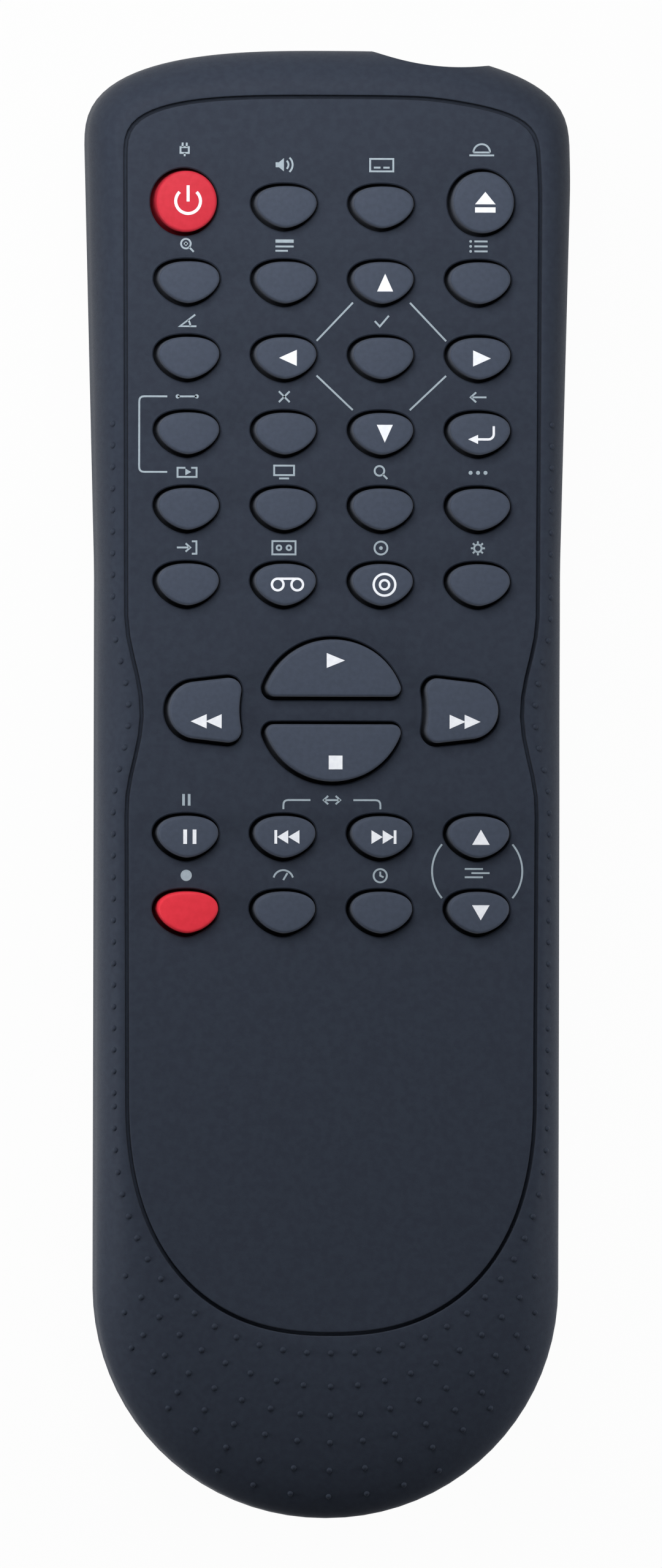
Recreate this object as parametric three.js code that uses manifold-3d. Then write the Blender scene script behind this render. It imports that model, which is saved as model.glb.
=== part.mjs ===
// Remote control for a disc and tape player, in millimetres.
// +Z is out of the key face, +Y points to the infrared end, and the origin is under the middle of
// the back, which lies flat on z = 0.
import * as THREE from "three";
import { mergeVertices } from "three/addons/utils/BufferGeometryUtils.js";
import Module from "manifold-3d";

const wasm = await Module();
wasm.setup();

// Case walls
const wall = 1.8;
const panelThickness = 2;
const partingHeight = 10.5;
const partingSeam = 0.2;
const frameDrop = 7;
const cavityInset = 0.8;
const wallDraft = 0.15;
const bottomInset = 6;
const bottomRise = 8;

// Case outline: a round foot, level sides that flare to the head, and a squarish head
const frameMargin = 3.23;
const headFlare = 1.4;
const flareLength = 51.5;
const headCornerLength = 11.5;
const headCornerPower = 2.65;
const noseMargin = 9.5;
const footMargin = 9.3;

// Key panel, ringed by a narrow groove
const panelSideMargin = 3.555;
const panelHeadFlare = 0.23;
const panelFootMargin = 22.1;
const panelFootReach = 28.9;
const panelFootPower = 2.3;
const panelHeadMargin = 5.65;
const panelHeadReach = 7.55;
const panelHeadPower = 3.4;
const waistDepth = 1.86;
const waistShift = 0.25;
const waistHalfLength = 11.9;
const grooveWidth = 0.6;
const grooveDepth = 0.5;
const grooveSlope = 0.1;

// Scoop in the nose, where the infrared diode looks out
const scoopRadius = 26.6;
const scoopX = 15.2;
const scoopDepth = 2.2;
const noseBlockWidth = 19;
const noseBlockDepth = 5.5;

// Keys
const columnPitch = 11.73;
const rowPitch = 9.12;
const roundKeyShiftX = 0.37;
const roundKeyShiftY = 0.66;
const keyGap = 0.3;
const keyProud = 1.4;
const keyEdge = 0.5;
const keyTravel = 0.9;
const keySkirt = 0.55;
const skirtGap = 0.1;
const skirtHeight = 1;
const ovalHalfWidth = 3.72;
const ovalUpper = 2.2;
const ovalLower = 2.93;
const ovalUpperPower = 2.3;
const ovalLowerPower = 1.7;
const roundKeyRadius = 3.75;
const stemRadius = 1.6;

// Play and stop make one disc cut by a slot, with the wind keys curved round it
const clusterDrop = 15.15;
const clusterFootDrop = 15.31;
const clusterRadius = 8.66;
const clusterSlot = 3.34;
const clusterCorner = 1.05;
const leastCornerShare = 0.35;
const windGap = 2.79;
const windCornerRadius = 1.5;
const windHalfHeight = 3.95;
const windOuterRadius = 3.5;
const windOverhang = 2.455;

// Rubber mat and circuit board
const boardThickness = 1.2;
const boardSideMargin = 1.47;
const boardHeadMargin = 9.8;
const boardFootMargin = 4.42;
const boardCorner = 4;
const matThickness = 1.2;
const matGap = 0.1;
const matSideInset = 0.2;
const matHeadInset = 2;
const matFootInset = 0.3;
const stemGap = 0.3;
const ribWidth = 0.6;
const ribGap = 0.1;
const hookLength = 6;
const hookReach = 1.3;
const hookThickness = 1.1;
const hookGap = 0.2;
const hookShares = [0.08, 0.47, 0.82];

// Screws and their bosses, between the cluster and the rows below it
const screwX = 14.5;
const screwDrop = 8.35;
const screwHeadRadius = 2.2;
const screwHeadThickness = 1.6;
const screwShankRadius = 1.05;
const screwLength = 9.5;
const screwSeatZ = 6;
const screwClearance = 0.3;
const lowerBossRadius = 3.5;
const bossFloor = 2;
const upperBossRadius = 2.5;
const bossGap = 0.2;
const pilotGap = 0.15;
const seatGap = 0.1;
const crossRecess = 0.8;
const crossWidth = 0.6;
const crossLength = 2.4;

// Battery bay, cells and door
const cellRadius = 7.1;
const cellLength = 48.7;
const nubRadius = 2.6;
const nubLength = 1.3;
const cellApart = 0.8;
const cellEdge = 0.6;
const cellGap = 0.35;
const bayWall = 1.2;
const bayHeadroom = 2;
const boardToBay = 0.9;
const ridgeShare = 0.33;
const doorSideMargin = 1.85;
const doorHeadMargin = 2;
const doorTopZ = 8;
const doorThickness = 1.6;
const doorSink = 0.3;
const doorGap = 0.25;
const doorBackGap = 0.3;
const skinThickness = 1.2;
const tongueWidth = 1.1;
const tongueRoot = 1.2;
const tongueThickness = 0.6;
const tongueHeadMargin = 1.5;
const tongueFootMargin = 7.5;
const gripCount = 5;
const gripPitch = 2.4;
const gripHalfWidth = 8.5;
const gripLineWidth = 1.1;
const gripDepth = 0.5;
const gripMargin = 6;

// Battery contacts
const plateThickness = 0.4;
const plateGap = 0.2;
const plateHalfWidth = 5;
const plateHalfHeight = 5.4;
const bumpRadius = 2;
const bumpTipRadius = 1;
const bumpHeight = 0.5;
const contactGap = 0.1;
const springLength = 4.6;
const coilTurns = 4;
const coilBaseRadius = 4.3;
const coilTipRadius = 2.6;
const wireRadius = 0.32;
const tabWidth = 2.2;
const tabReach = 3.6;
const tabGap = 0.2;

// Infrared diode
const diodeX = 12.4;
const diodeBoardGap = 0.3;
const diodeRadius = 2.5;
const diodeLength = 8.6;
const diodeFlangeRadius = 2.9;
const diodeFlangeThickness = 1;
const diodeProud = 0.25;
const diodeGap = 0.3;
const leadSpacing = 2.54;
const leadThickness = 0.6;
const leadBendLength = 2;

// Parts soldered under the board, each placed at shares of the board's width and length
const chipLength = 12.6;
const chipWidth = 7.5;
const chipThickness = 2.2;
const chipShares = [0.33, 0.46];
const pinCount = 6;
const pinPitch = 1.8;
const pinWidth = 0.5;
const pinReach = 1.3;
const solderGap = 0.2;
const resonatorWidth = 6;
const resonatorDepth = 2.8;
const resonatorHeight = 4.6;
const resonatorShares = [0.59, 0.42];
const capacitorRadius = 2.5;
const capacitorHeight = 7;
const capacitorShares = [0.73, 0.9];
const transistorRadius = 2.3;
const transistorFlat = 1.4;
const transistorHeight = 4.6;
const transistorShares = [0.71, 0.18];

// One overrun for every cut, so that no cutter ends on a face
const overrun = 1;
const mergeTolerance = 0.0001;

// Counts of facets
const halvings = 50;
const footFanCount = 13;
const headFanShares = [0.11, 0.2, 0.26, 0.31, 0.37, 0.42, 0.49, 0.58, 0.7, 0.85];
const waistShares = [-1, -0.75, -0.5, -0.25, 0, 0.25, 0.5, 0.75, 1];
const frameSteps = 4;
const cavitySteps = 3;
const sidesOf = { oval: 12, round: 14, play: 18, stop: 18, rewind: 18, forward: 18 };
const stemSides = 6;
const roundSides = 16;
const bossSides = 10;
const scoopSides = 96;
const cellSides = 16;
const coilSteps = 8;
const coilSides = 4;

// Widths, from the outermost key column out to the case
const columnReach = 1.5 * columnPitch;
const panelHalfWidth = columnReach + ovalHalfWidth + panelSideMargin;
const footRadius = panelHalfWidth + frameMargin;
const boardHalfWidth = panelHalfWidth - boardSideMargin;
const matHalfWidth = boardHalfWidth - matSideInset;
const windOuterX = columnReach + windOverhang;
const windInnerRadius = clusterRadius + windGap;

// Lengths, from the nose over the key rows and the battery bay to the foot
const upperRowCount = 6;
const lowerRowCount = 2;
const keyFieldLength =
  (upperRowCount - 1 + lowerRowCount - 1) * rowPitch + clusterDrop + clusterFootDrop;
const plateRoom = plateGap + plateThickness;
const bayLength =
  2 * plateRoom + bumpHeight + 2 * contactGap + nubLength + cellLength + springLength;
const boardLength = boardHeadMargin + keyFieldLength + boardFootMargin;
const bodyLength = noseMargin + boardLength + boardToBay + bayLength + 2 * bayWall + footMargin;
const halfLength = bodyLength / 2;
const boardHeadY = halfLength - noseMargin;
const upperRowY = boardHeadY - boardHeadMargin;
const clusterY = upperRowY - (upperRowCount - 1) * rowPitch - clusterDrop;
const lowerRowY = clusterY - clusterFootDrop;
const boardFootY = boardHeadY - boardLength;
const bayHeadY = boardFootY - boardToBay - bayWall;
const bayFootY = bayHeadY - bayLength;
const matHeadY = boardHeadY - matHeadInset;
const matFootY = boardFootY + matFootInset;
const headStartY = halfLength - headCornerLength;
const waistY = clusterY - waistShift;
const screwY = clusterY - screwDrop;
const doorHeadY = bayHeadY + doorHeadMargin;
const tongueHeadY = doorHeadY - tongueHeadMargin;
const tongueFootY = bayFootY + tongueFootMargin;

// Heights: the cells under the bay's roof set the thickness of the case
const doorInnerInset = doorSink + doorThickness;
const skinInset = doorInnerInset + doorBackGap;
const bayRadius = cellRadius + cellGap;
const cellSpacing = 2 * cellRadius + cellApart;
const cellZ = doorInnerInset + bayRadius;
const panelUndersideZ = cellZ + bayRadius + bayWall + bayHeadroom;
const panelHeight = panelUndersideZ + panelThickness;
const matTopZ = panelUndersideZ - skirtGap - skirtHeight - skirtGap - keyTravel;
const matBottomZ = matTopZ - matThickness;
const boardTopZ = matBottomZ - matGap;
const boardBottomZ = boardTopZ - boardThickness;
const diodeZ = boardBottomZ - diodeBoardGap - diodeFlangeRadius;

const paint = (color, roughness, metalness = 0) =>
  new THREE.MeshStandardMaterial({ color, roughness, metalness });
const materials = {
  housing: paint(0x343942, 0.55),
  key: paint(0x4a525e, 0.6),
  redKey: paint(0xd83a48, 0.5),
  mat: paint(0x4a525e, 0.7),
  board: paint(0xa5793f, 0.6),
  metal: paint(0xc8c9c6, 0.3, 1),
  cell: paint(0x2f5f8f, 0.35),
  diode: paint(0xd9dde6, 0.1),
  chip: paint(0x17181a, 0.5),
  resonator: paint(0xb9652c, 0.5),
};

const part = new THREE.Group();
const add = (name, geometry, material, position = [0, 0, 0]) => {
  const mesh = new THREE.Mesh(geometry, material);
  mesh.name = name;
  mesh.position.set(...position);
  part.add(mesh);
  return mesh;
};

// Solids

// A closed three.js geometry as a manifold solid.
function solid(geometry) {
  const bare = geometry.clone();
  bare.deleteAttribute("normal");
  bare.deleteAttribute("uv");
  const merged = mergeVertices(bare, mergeTolerance);
  return new wasm.Manifold(
    new wasm.Mesh({
      numProp: 3,
      vertProperties: merged.getAttribute("position").array,
      triVerts: new Uint32Array(merged.index.array),
    }),
  );
}

// A manifold solid as a flat-shaded three.js geometry.
function geometryOf(made) {
  const mesh = made.getMesh();
  const geometry = new THREE.BufferGeometry();
  geometry.setAttribute("position", new THREE.BufferAttribute(mesh.vertProperties, mesh.numProp));
  geometry.setIndex(new THREE.BufferAttribute(mesh.triVerts, 1));
  const flat = geometry.toNonIndexed();
  flat.computeVertexNormals();
  return flat;
}

const joined = (list) => list.reduce((whole, next) => whole.add(next));

// A box given by its lowest and highest corners.
function box(low, high) {
  const size = high.map((value, axis) => value - low[axis]);
  const geometry = new THREE.BoxGeometry(...size);
  geometry.translate(...low.map((value, axis) => value + size[axis] / 2));
  return solid(geometry);
}

// A solid over rings of [x, y, z] points, closed by a cap of the first ring and one of the last.
function ringSolid(rings, firstCap, lastCap) {
  const count = rings[0].length;
  const last = (rings.length - 1) * count;
  const faces = [];
  for (let start = 0; start < last; start += count) {
    for (let i = 0; i < count; i++) {
      const a = start + i;
      const b = start + ((i + 1) % count);
      faces.push(a, b, b + count, a, b + count, a + count);
    }
  }
  for (const [a, b, c] of firstCap) faces.push(c, b, a);
  for (const [a, b, c] of lastCap) faces.push(last + a, last + b, last + c);
  const geometry = new THREE.BufferGeometry();
  geometry.setAttribute("position", new THREE.Float32BufferAttribute(rings.flat(2), 3));
  geometry.setIndex(faces);
  return solid(geometry);
}

// A solid skinned from its bottom ring to its top ring, both level.
function skinned(rings) {
  const cap = (ring) =>
    THREE.ShapeUtils.triangulateShape(ring.map(([x, y]) => new THREE.Vector2(x, y)), []);
  return ringSolid(rings, cap(rings[0]), cap(rings.at(-1)));
}

// A closed tube over small convex rings.
function tube(rings) {
  const fan = rings[0].slice(2).map((_, i) => [0, i + 1, i + 2]);
  return ringSolid(rings, fan, fan);
}

// A straight prism over an outline of [x, y] points.
const prism = (outline, low, high) =>
  skinned([low, high].map((z) => outline.map(([x, y]) => [x, y, z])));

// A turned solid about +Z from a profile of [radius, z] points that starts and ends on the axis.
function turned(profile, sides = roundSides) {
  const points = profile.map(([r, z]) => new THREE.Vector2(r, z));
  const geometry = new THREE.LatheGeometry(points, sides);
  geometry.rotateX(Math.PI / 2);
  return solid(geometry);
}

const rod = (radius, low, high, sides) =>
  turned([[0, low], [radius, low], [radius, high], [0, high]], sides);

// Outlines of the body, seen from above

// An outline has a rounded foot, sides with an optional flare and waist, and a rounded head.
const bodyOutline = {
  half: footRadius,
  headHalf: footRadius + headFlare,
  footStart: footRadius - halfLength,
  footReach: footRadius,
  footPower: 2,
  headStart: headStartY,
  headReach: headCornerLength,
  headPower: headCornerPower,
  flareStart: headStartY - flareLength,
  waist: 0,
};
const panelFootStartY = panelFootMargin + panelFootReach - halfLength;
const panelOutline = {
  half: panelHalfWidth,
  headHalf: panelHalfWidth + panelHeadFlare,
  footStart: panelFootStartY,
  footReach: panelFootReach,
  footPower: panelFootPower,
  headStart: halfLength - panelHeadMargin - panelHeadReach,
  headReach: panelHeadReach,
  headPower: panelHeadPower,
  flareStart: panelFootStartY,
  waist: waistDepth,
};

const inset = (outline, by) => ({
  ...outline,
  half: outline.half - by,
  headHalf: outline.headHalf - by,
  footReach: outline.footReach - by,
  headReach: outline.headReach - by,
});

const superellipse = (share, power) => Math.max(0, 1 - share ** power) ** (1 / power);

// Half the width of an outline at y.
function halfWidthAt(outline, y) {
  if (y < outline.footStart) {
    const share = Math.min(1, (outline.footStart - y) / outline.footReach);
    return outline.half * superellipse(share, outline.footPower);
  }
  if (y > outline.headStart) {
    const share = Math.min(1, (y - outline.headStart) / outline.headReach);
    return outline.headHalf * superellipse(share, outline.headPower);
  }
  const flareRun = outline.headStart - outline.flareStart;
  const flare = Math.max(0, (y - outline.flareStart) / flareRun);
  const off = Math.min(1, Math.abs(y - waistY) / waistHalfLength);
  const waist = outline.waist * Math.cos((off * Math.PI) / 2) ** 2;
  return outline.half + (outline.headHalf - outline.half) * flare - waist;
}

// Stations are rays from the spine: a fan round the foot, level rays along the sides, a fan
// round the head. Every outline is read along the same rays, so rings can be skinned together.
const spineFootY = panelFootStartY;
const spineHeadY = headStartY - headCornerLength;
const halfStations = [];
for (let i = 0; i < footFanCount; i++) {
  const angle = ((i / footFanCount - 1) * Math.PI) / 2;
  halfStations.push({ y: spineFootY, dx: Math.cos(angle), dy: Math.sin(angle) });
}
const sideStops = [
  spineFootY,
  (spineFootY + waistY - waistHalfLength) / 2,
  ...waistShares.map((share) => waistY + share * waistHalfLength),
  bodyOutline.flareStart,
  (bodyOutline.flareStart + spineHeadY) / 2,
].sort((a, b) => a - b);
for (const y of sideStops) halfStations.push({ y, dx: 1, dy: 0 });
for (const share of [0, ...headFanShares, 1]) {
  const angle = (share * Math.PI) / 2;
  halfStations.push({ y: spineHeadY, dx: Math.cos(angle), dy: Math.sin(angle) });
}
halfStations[0].dx = 0;
halfStations.at(-1).dx = 0;
const mirrored = halfStations.slice(1, -1).reverse().map((s) => ({ ...s, dx: -s.dx }));
const stations = [...halfStations, ...mirrored];
const coarseStations = stations.filter((_, i) => i % 2 === 0);

// The point where a station's ray leaves an outline, found by halving.
function reach(outline, station) {
  let near = 0;
  let far = bodyLength;
  for (let i = 0; i < halvings; i++) {
    const mid = (near + far) / 2;
    const y = station.y + station.dy * mid;
    const past = y > outline.headStart + outline.headReach || y < outline.footStart - outline.footReach;
    if (past || Math.abs(station.dx) * mid > halfWidthAt(outline, y)) far = mid;
    else near = mid;
  }
  return [station.dx * near, station.y + station.dy * near];
}

const ringOf = (outline, z, rays = stations) => rays.map((ray) => [...reach(outline, ray), z]);

// A ring between two outlines, part of an elliptical rounding. angle 0 is on the inner outline.
const roundedRing = (inner, outer, angle, innerZ, outerZ, rays = stations) =>
  rays.map((ray) => {
    const [ax, ay] = reach(inner, ray);
    const [bx, by] = reach(outer, ray);
    const out = Math.sin(angle);
    const z = innerZ + (outerZ - innerZ) * (1 - Math.cos(angle));
    return [ax + (bx - ax) * out, ay + (by - ay) * out, z];
  });

const roundingAngles = (steps) =>
  Array.from({ length: steps + 1 }, (_, i) => ((i / steps) * Math.PI) / 2);

// The lower body, its skin moved in by a distance all over.
function lowerBody(by, topZ, rays = stations) {
  const side = inset(bodyOutline, by + wallDraft);
  const flat = inset(bodyOutline, bottomInset);
  const rings = roundingAngles(cavitySteps).map((angle) =>
    roundedRing(flat, side, angle, by, bottomRise, rays),
  );
  rings.push(ringOf(inset(bodyOutline, by), topZ, rays));
  return skinned(rings);
}

// Outlines of the keys, anticlockwise, moved in by a distance

const arc = (x, y, radius, from, to, count) =>
  Array.from({ length: count }, (_, i) => {
    const angle = from + ((to - from) * i) / (count - 1);
    return [x + radius * Math.cos(angle), y + radius * Math.sin(angle)];
  });

// An egg, flatter above its widest line than below.
function ovalOutline(by, sides) {
  const widestY = (ovalLower - ovalUpper) / 2;
  return Array.from({ length: sides }, (_, i) => {
    const angle = ((i + 0.5) / sides) * 2 * Math.PI;
    const up = Math.sin(angle) > 0;
    const power = up ? ovalUpperPower : ovalLowerPower;
    const height = (up ? ovalUpper : ovalLower) - by;
    const across = Math.abs(Math.cos(angle)) ** (2 / power);
    const along = Math.abs(Math.sin(angle)) ** (2 / power);
    return [
      (ovalHalfWidth - by) * across * Math.sign(Math.cos(angle)),
      widestY + height * along * Math.sign(Math.sin(angle)),
    ];
  });
}

const roundOutline = (by, sides) => arc(0, 0, roundKeyRadius - by, 0, 2 * Math.PI, sides + 1).slice(1);

// The upper half of the disc above the slot, about the key's own middle.
const segmentMiddle = (clusterRadius + clusterSlot / 2) / 2;
function segmentOutline(by, sides) {
  const radius = clusterRadius - by;
  const corner = Math.max(clusterCorner - by, clusterCorner * leastCornerShare);
  const cornerY = clusterSlot / 2 + by + corner;
  const cornerX = Math.sqrt((radius - corner) ** 2 - cornerY ** 2);
  const tangent = Math.atan2(cornerY, cornerX);
  const bend = Math.max(3, Math.round(sides / 4));
  return [
    ...arc(cornerX, cornerY, corner, -Math.PI / 2, tangent, bend).slice(0, -1),
    ...arc(0, 0, radius, tangent, Math.PI - tangent, sides - 2 * bend + 2),
    ...arc(-cornerX, cornerY, corner, Math.PI - tangent, 1.5 * Math.PI, bend).slice(1),
  ].map(([x, y]) => [x, y - segmentMiddle]);
}

// The rewind key: a round outer end, and an inner side hollowed to the disc.
const windMiddleX = (windOuterX + windInnerRadius) / 2;
function windOutline(by, sides) {
  const cornerY = windHalfHeight - windCornerRadius;
  const cornerX = -Math.sqrt((windInnerRadius + windCornerRadius) ** 2 - cornerY ** 2);
  const endX = windOuterRadius - windOuterX;
  const apart = Math.hypot(cornerX - endX, cornerY);
  const lean =
    Math.atan2(cornerY, cornerX - endX) +
    Math.acos((windOuterRadius - windCornerRadius) / apart);
  const inward = Math.atan2(-cornerY, -cornerX);
  const corner = Math.max(windCornerRadius - by, windCornerRadius * leastCornerShare);
  const bend = Math.max(3, Math.round(sides / 4));
  const hollow = Math.atan2(cornerY, cornerX);
  return [
    ...arc(cornerX, cornerY, corner, inward, lean, bend),
    ...arc(endX, 0, windOuterRadius - by, lean, 2 * Math.PI - lean, sides - 2 * bend + 1),
    ...arc(cornerX, -cornerY, corner, -lean, -inward, bend),
    ...arc(0, 0, windInnerRadius + by, 2 * Math.PI - hollow, hollow, 3).slice(1, -1),
  ].map(([x, y]) => [x + windMiddleX, y]);
}

const turnedOver = (outline, flipX, flipY) =>
  outline.map(([x, y]) => [flipX ? -x : x, flipY ? -y : y]).reverse();

const keyShapes = {
  oval: ovalOutline,
  round: roundOutline,
  play: segmentOutline,
  stop: (by, sides) => turnedOver(segmentOutline(by, sides), false, true),
  rewind: windOutline,
  forward: (by, sides) => turnedOver(windOutline(by, sides), true, false),
};

// Where each key sits

const upperRows = [
  ["power", "audio", "subtitle", "open_close"],
  ["zoom", "title", "up", "menu"],
  ["angle", "left", "enter", "right"],
  ["a_b", "clear", "down", "return"],
  ["repeat", "display", "search", "mode"],
  ["input", "tape", "disc", "setup"],
];
const lowerRows = [
  ["pause", "skip_back", "skip_forward", "tracking_up"],
  ["record", "speed", "timer", "tracking_down"],
];
const roundNames = ["power", "open_close"];
const redNames = ["power", "record"];

const keys = [];
function placeRows(rows, firstY) {
  rows.forEach((names, row) =>
    names.forEach((name, column) => {
      const x = (column - (names.length - 1) / 2) * columnPitch;
      const y = firstY - row * rowPitch;
      if (roundNames.includes(name))
        keys.push({ name, shape: "round", x: x + Math.sign(x) * roundKeyShiftX, y: y + roundKeyShiftY });
      else keys.push({ name, shape: "oval", x, y });
    }),
  );
}
placeRows(upperRows, upperRowY);
placeRows(lowerRows, lowerRowY);
keys.push({ name: "play", shape: "play", x: 0, y: clusterY + segmentMiddle });
keys.push({ name: "stop", shape: "stop", x: 0, y: clusterY - segmentMiddle });
keys.push({ name: "rewind", shape: "rewind", x: -windMiddleX, y: clusterY });
keys.push({ name: "forward", shape: "forward", x: windMiddleX, y: clusterY });

// A key: a stem over its contact on the board, a skirt over the mat, and a top with eased edges.
function keySolid(shape) {
  const sides = sidesOf[shape];
  const outline = (by) => keyShapes[shape](by, sides);
  const skirtZ = matTopZ + keyTravel + skirtGap;
  const stemZ = boardTopZ + keyTravel + skirtGap;
  const levels = [
    [outline(-keySkirt), skirtZ],
    [outline(0), panelUndersideZ - skirtGap],
    [outline(0), panelHeight + keyProud - keyEdge],
    [outline(keyEdge), panelHeight + keyProud],
  ];
  const body = skinned(levels.map(([points, z]) => points.map(([x, y]) => [x, y, z])));
  const stem = rod(stemRadius, stemZ, panelHeight, stemSides);
  return body.add(stem).translate(0, 0, -panelHeight);
}

for (const { name, shape, x, y } of keys) {
  const material = redNames.includes(name) ? materials.redKey : materials.key;
  add(`${name}_key`, geometryOf(keySolid(shape)), material, [x, y, panelHeight]);
}

// Upper housing

const sideTop = inset(bodyOutline, wallDraft);
const frameEdge = inset(panelOutline, -grooveWidth / 2);
const panelEdge = inset(panelOutline, grooveWidth / 2);
const frameFootZ = panelHeight - frameDrop;

const upperSkin = () => {
  const rings = [ringOf(bodyOutline, partingHeight + partingSeam)];
  for (const angle of roundingAngles(frameSteps).reverse())
    rings.push(roundedRing(frameEdge, sideTop, angle, panelHeight, frameFootZ));
  rings.push(ringOf(inset(frameEdge, grooveSlope), panelHeight - grooveDepth));
  rings.push(ringOf(inset(panelEdge, -grooveSlope), panelHeight - grooveDepth));
  rings.push(ringOf(panelEdge, panelHeight));
  return skinned(rings);
};

const upperCavity = () => {
  const top = inset(panelOutline, cavityInset);
  const side = inset(bodyOutline, wall + wallDraft);
  const rings = [ringOf(inset(bodyOutline, wall), partingHeight - overrun, coarseStations)];
  for (const angle of roundingAngles(cavitySteps).reverse())
    rings.push(roundedRing(top, side, angle, panelUndersideZ, frameFootZ, coarseStations));
  return skinned(rings);
};

const noseBlock = (bottomZ, topZ) =>
  box(
    [diodeX - noseBlockWidth / 2, halfLength - noseBlockDepth, bottomZ],
    [diodeX + noseBlockWidth / 2, halfLength, topZ],
  );
const scoopMiddleY = halfLength - scoopDepth + scoopRadius;
const scoop = rod(scoopRadius, -overrun, panelHeight + overrun, scoopSides).translate(
  scoopX,
  scoopMiddleY,
  0,
);
const alongY = (made) => made.rotate(-90, 0, 0);
const diodeBore = alongY(rod(diodeRadius + diodeGap, 0, halfLength, roundSides)).translate(
  diodeX,
  halfLength - noseBlockDepth - overrun,
  diodeZ,
);

// Wall round the edge of the mat, which it clamps down on the board.
const matRib = () => {
  const low = [-matHalfWidth, matFootY, matTopZ + ribGap];
  const high = [matHalfWidth, matHeadY, panelUndersideZ + overrun];
  const hollowLow = [low[0] + ribWidth, low[1] + ribWidth, low[2] - overrun];
  const hollowHigh = [high[0] - ribWidth, high[1] - ribWidth, high[2] + overrun];
  return box(low, high).subtract(box(hollowLow, hollowHigh));
};

// Hooks that catch the board from below, one pair at each y.
const hook = (side, y) => {
  const innerX = boardHalfWidth + hookGap;
  const leg = box(
    [innerX, y - hookLength / 2, boardBottomZ - hookGap - hookThickness],
    [innerX + hookThickness, y + hookLength / 2, panelUndersideZ + overrun],
  );
  const toe = box(
    [innerX - hookReach, y - hookLength / 2, boardBottomZ - hookGap - hookThickness],
    [innerX + hookThickness, y + hookLength / 2, boardBottomZ - hookGap],
  );
  const made = leg.add(toe);
  return side < 0 ? made.mirror([1, 0, 0]) : made;
};
const hooks = [-1, 1].flatMap((side) =>
  hookShares.map((share) => hook(side, boardHeadY - boardLength * share)),
);

const bossBottomZ = screwSeatZ + bossFloor + bossGap;
const upperBoss = (x) =>
  rod(upperBossRadius, bossBottomZ, panelUndersideZ + overrun, bossSides).translate(x, screwY, 0);
const pilot = (x) =>
  rod(screwShankRadius + pilotGap, bossBottomZ - overrun, screwSeatZ + screwLength, bossSides)
    .translate(x, screwY, 0);
const screwXs = [-screwX, screwX];

const apertures = keys.map(({ shape, x, y }) =>
  prism(keyShapes[shape](-keyGap, sidesOf[shape]), panelUndersideZ - overrun, panelHeight + overrun)
    .translate(x, y, 0),
);

const upperFillings = joined([
  matRib(),
  ...hooks,
  ...screwXs.map(upperBoss),
  noseBlock(partingHeight + partingSeam, panelUndersideZ + overrun),
]);
const upperHousing = upperSkin()
  .subtract(upperCavity())
  .add(upperFillings.intersect(upperSkin()))
  .subtract(joined([...apertures, ...screwXs.map(pilot), scoop, diodeBore]));
add("upper_housing", geometryOf(upperHousing), materials.housing);

// Rubber mat and circuit board

const bossHole = (x, bottomZ, topZ) =>
  rod(upperBossRadius + screwClearance, bottomZ - overrun, topZ + overrun, bossSides)
    .translate(x, screwY, 0);

const stemHole = ({ x, y }) => {
  const radius = stemRadius + stemGap;
  return rod(radius, matBottomZ - overrun, matTopZ + overrun, stemSides).translate(x, y, 0);
};
const mat = box([-matHalfWidth, matFootY, matBottomZ], [matHalfWidth, matHeadY, matTopZ]).subtract(
  joined([...keys.map(stemHole), ...screwXs.map((x) => bossHole(x, matBottomZ, matTopZ))]),
);
add("keypad_mat", geometryOf(mat), materials.mat);

const boardOutline = () => {
  const x = boardHalfWidth - boardCorner;
  const head = boardHeadY - boardCorner;
  const foot = boardFootY + boardCorner;
  const bend = 3;
  return [
    ...arc(x, head, boardCorner, 0, Math.PI / 2, bend),
    ...arc(-x, head, boardCorner, Math.PI / 2, Math.PI, bend),
    ...arc(-x, foot, boardCorner, Math.PI, 1.5 * Math.PI, bend),
    ...arc(x, foot, boardCorner, 1.5 * Math.PI, 2 * Math.PI, bend),
  ];
};
const board = prism(boardOutline(), boardBottomZ, boardTopZ).subtract(
  joined(screwXs.map((x) => bossHole(x, boardBottomZ, boardTopZ))),
);
add("circuit_board", geometryOf(board), materials.board);

// Lower housing

const doorHalf = cellSpacing / 2 + bayRadius + bayWall + doorSideMargin;
const doorZone = (by, headBy) =>
  box(
    [-doorHalf - by, -halfLength - overrun, -overrun],
    [doorHalf + by, doorHeadY + headBy, doorTopZ + by],
  );
const slotHalf = doorHalf + doorGap + tongueWidth;
const tongueTopZ = doorInnerInset;
const tongueBottomZ = tongueTopZ - tongueThickness;

// Tub round the two cells: open below, with a ridge hanging between them.
const tub = (radius, bottomZ, ridgeZ, footY, headY) => {
  const shell = [-1, 1].map((side) =>
    alongY(rod(radius, 0, headY - footY, cellSides)).translate((side * cellSpacing) / 2, footY, cellZ),
  );
  const halfWidth = cellSpacing / 2 + radius;
  const block = box([-halfWidth, footY, bottomZ], [halfWidth, headY, cellZ]);
  const ridge = box([-cellSpacing / 2, footY, bottomZ], [cellSpacing / 2, headY, ridgeZ]);
  return joined([...shell, block, ridge]);
};
const ridgeZ = cellZ + cellRadius * ridgeShare;
const bayHollow = tub(bayRadius, -overrun, ridgeZ, bayFootY, bayHeadY);
const bayOuter = tub(bayRadius + bayWall, skinInset, cellZ, bayFootY - bayWall, bayHeadY + bayWall);

const lowerBoss = (x) =>
  rod(lowerBossRadius, wall / 2, screwSeatZ + bossFloor, bossSides).translate(x, screwY, 0);
const screwBore = (x) =>
  joined([
    rod(screwHeadRadius + screwClearance, -overrun, screwSeatZ, bossSides),
    rod(screwShankRadius + screwClearance, 0, screwSeatZ + bossFloor + overrun, bossSides),
  ]).translate(x, screwY, 0);

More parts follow.
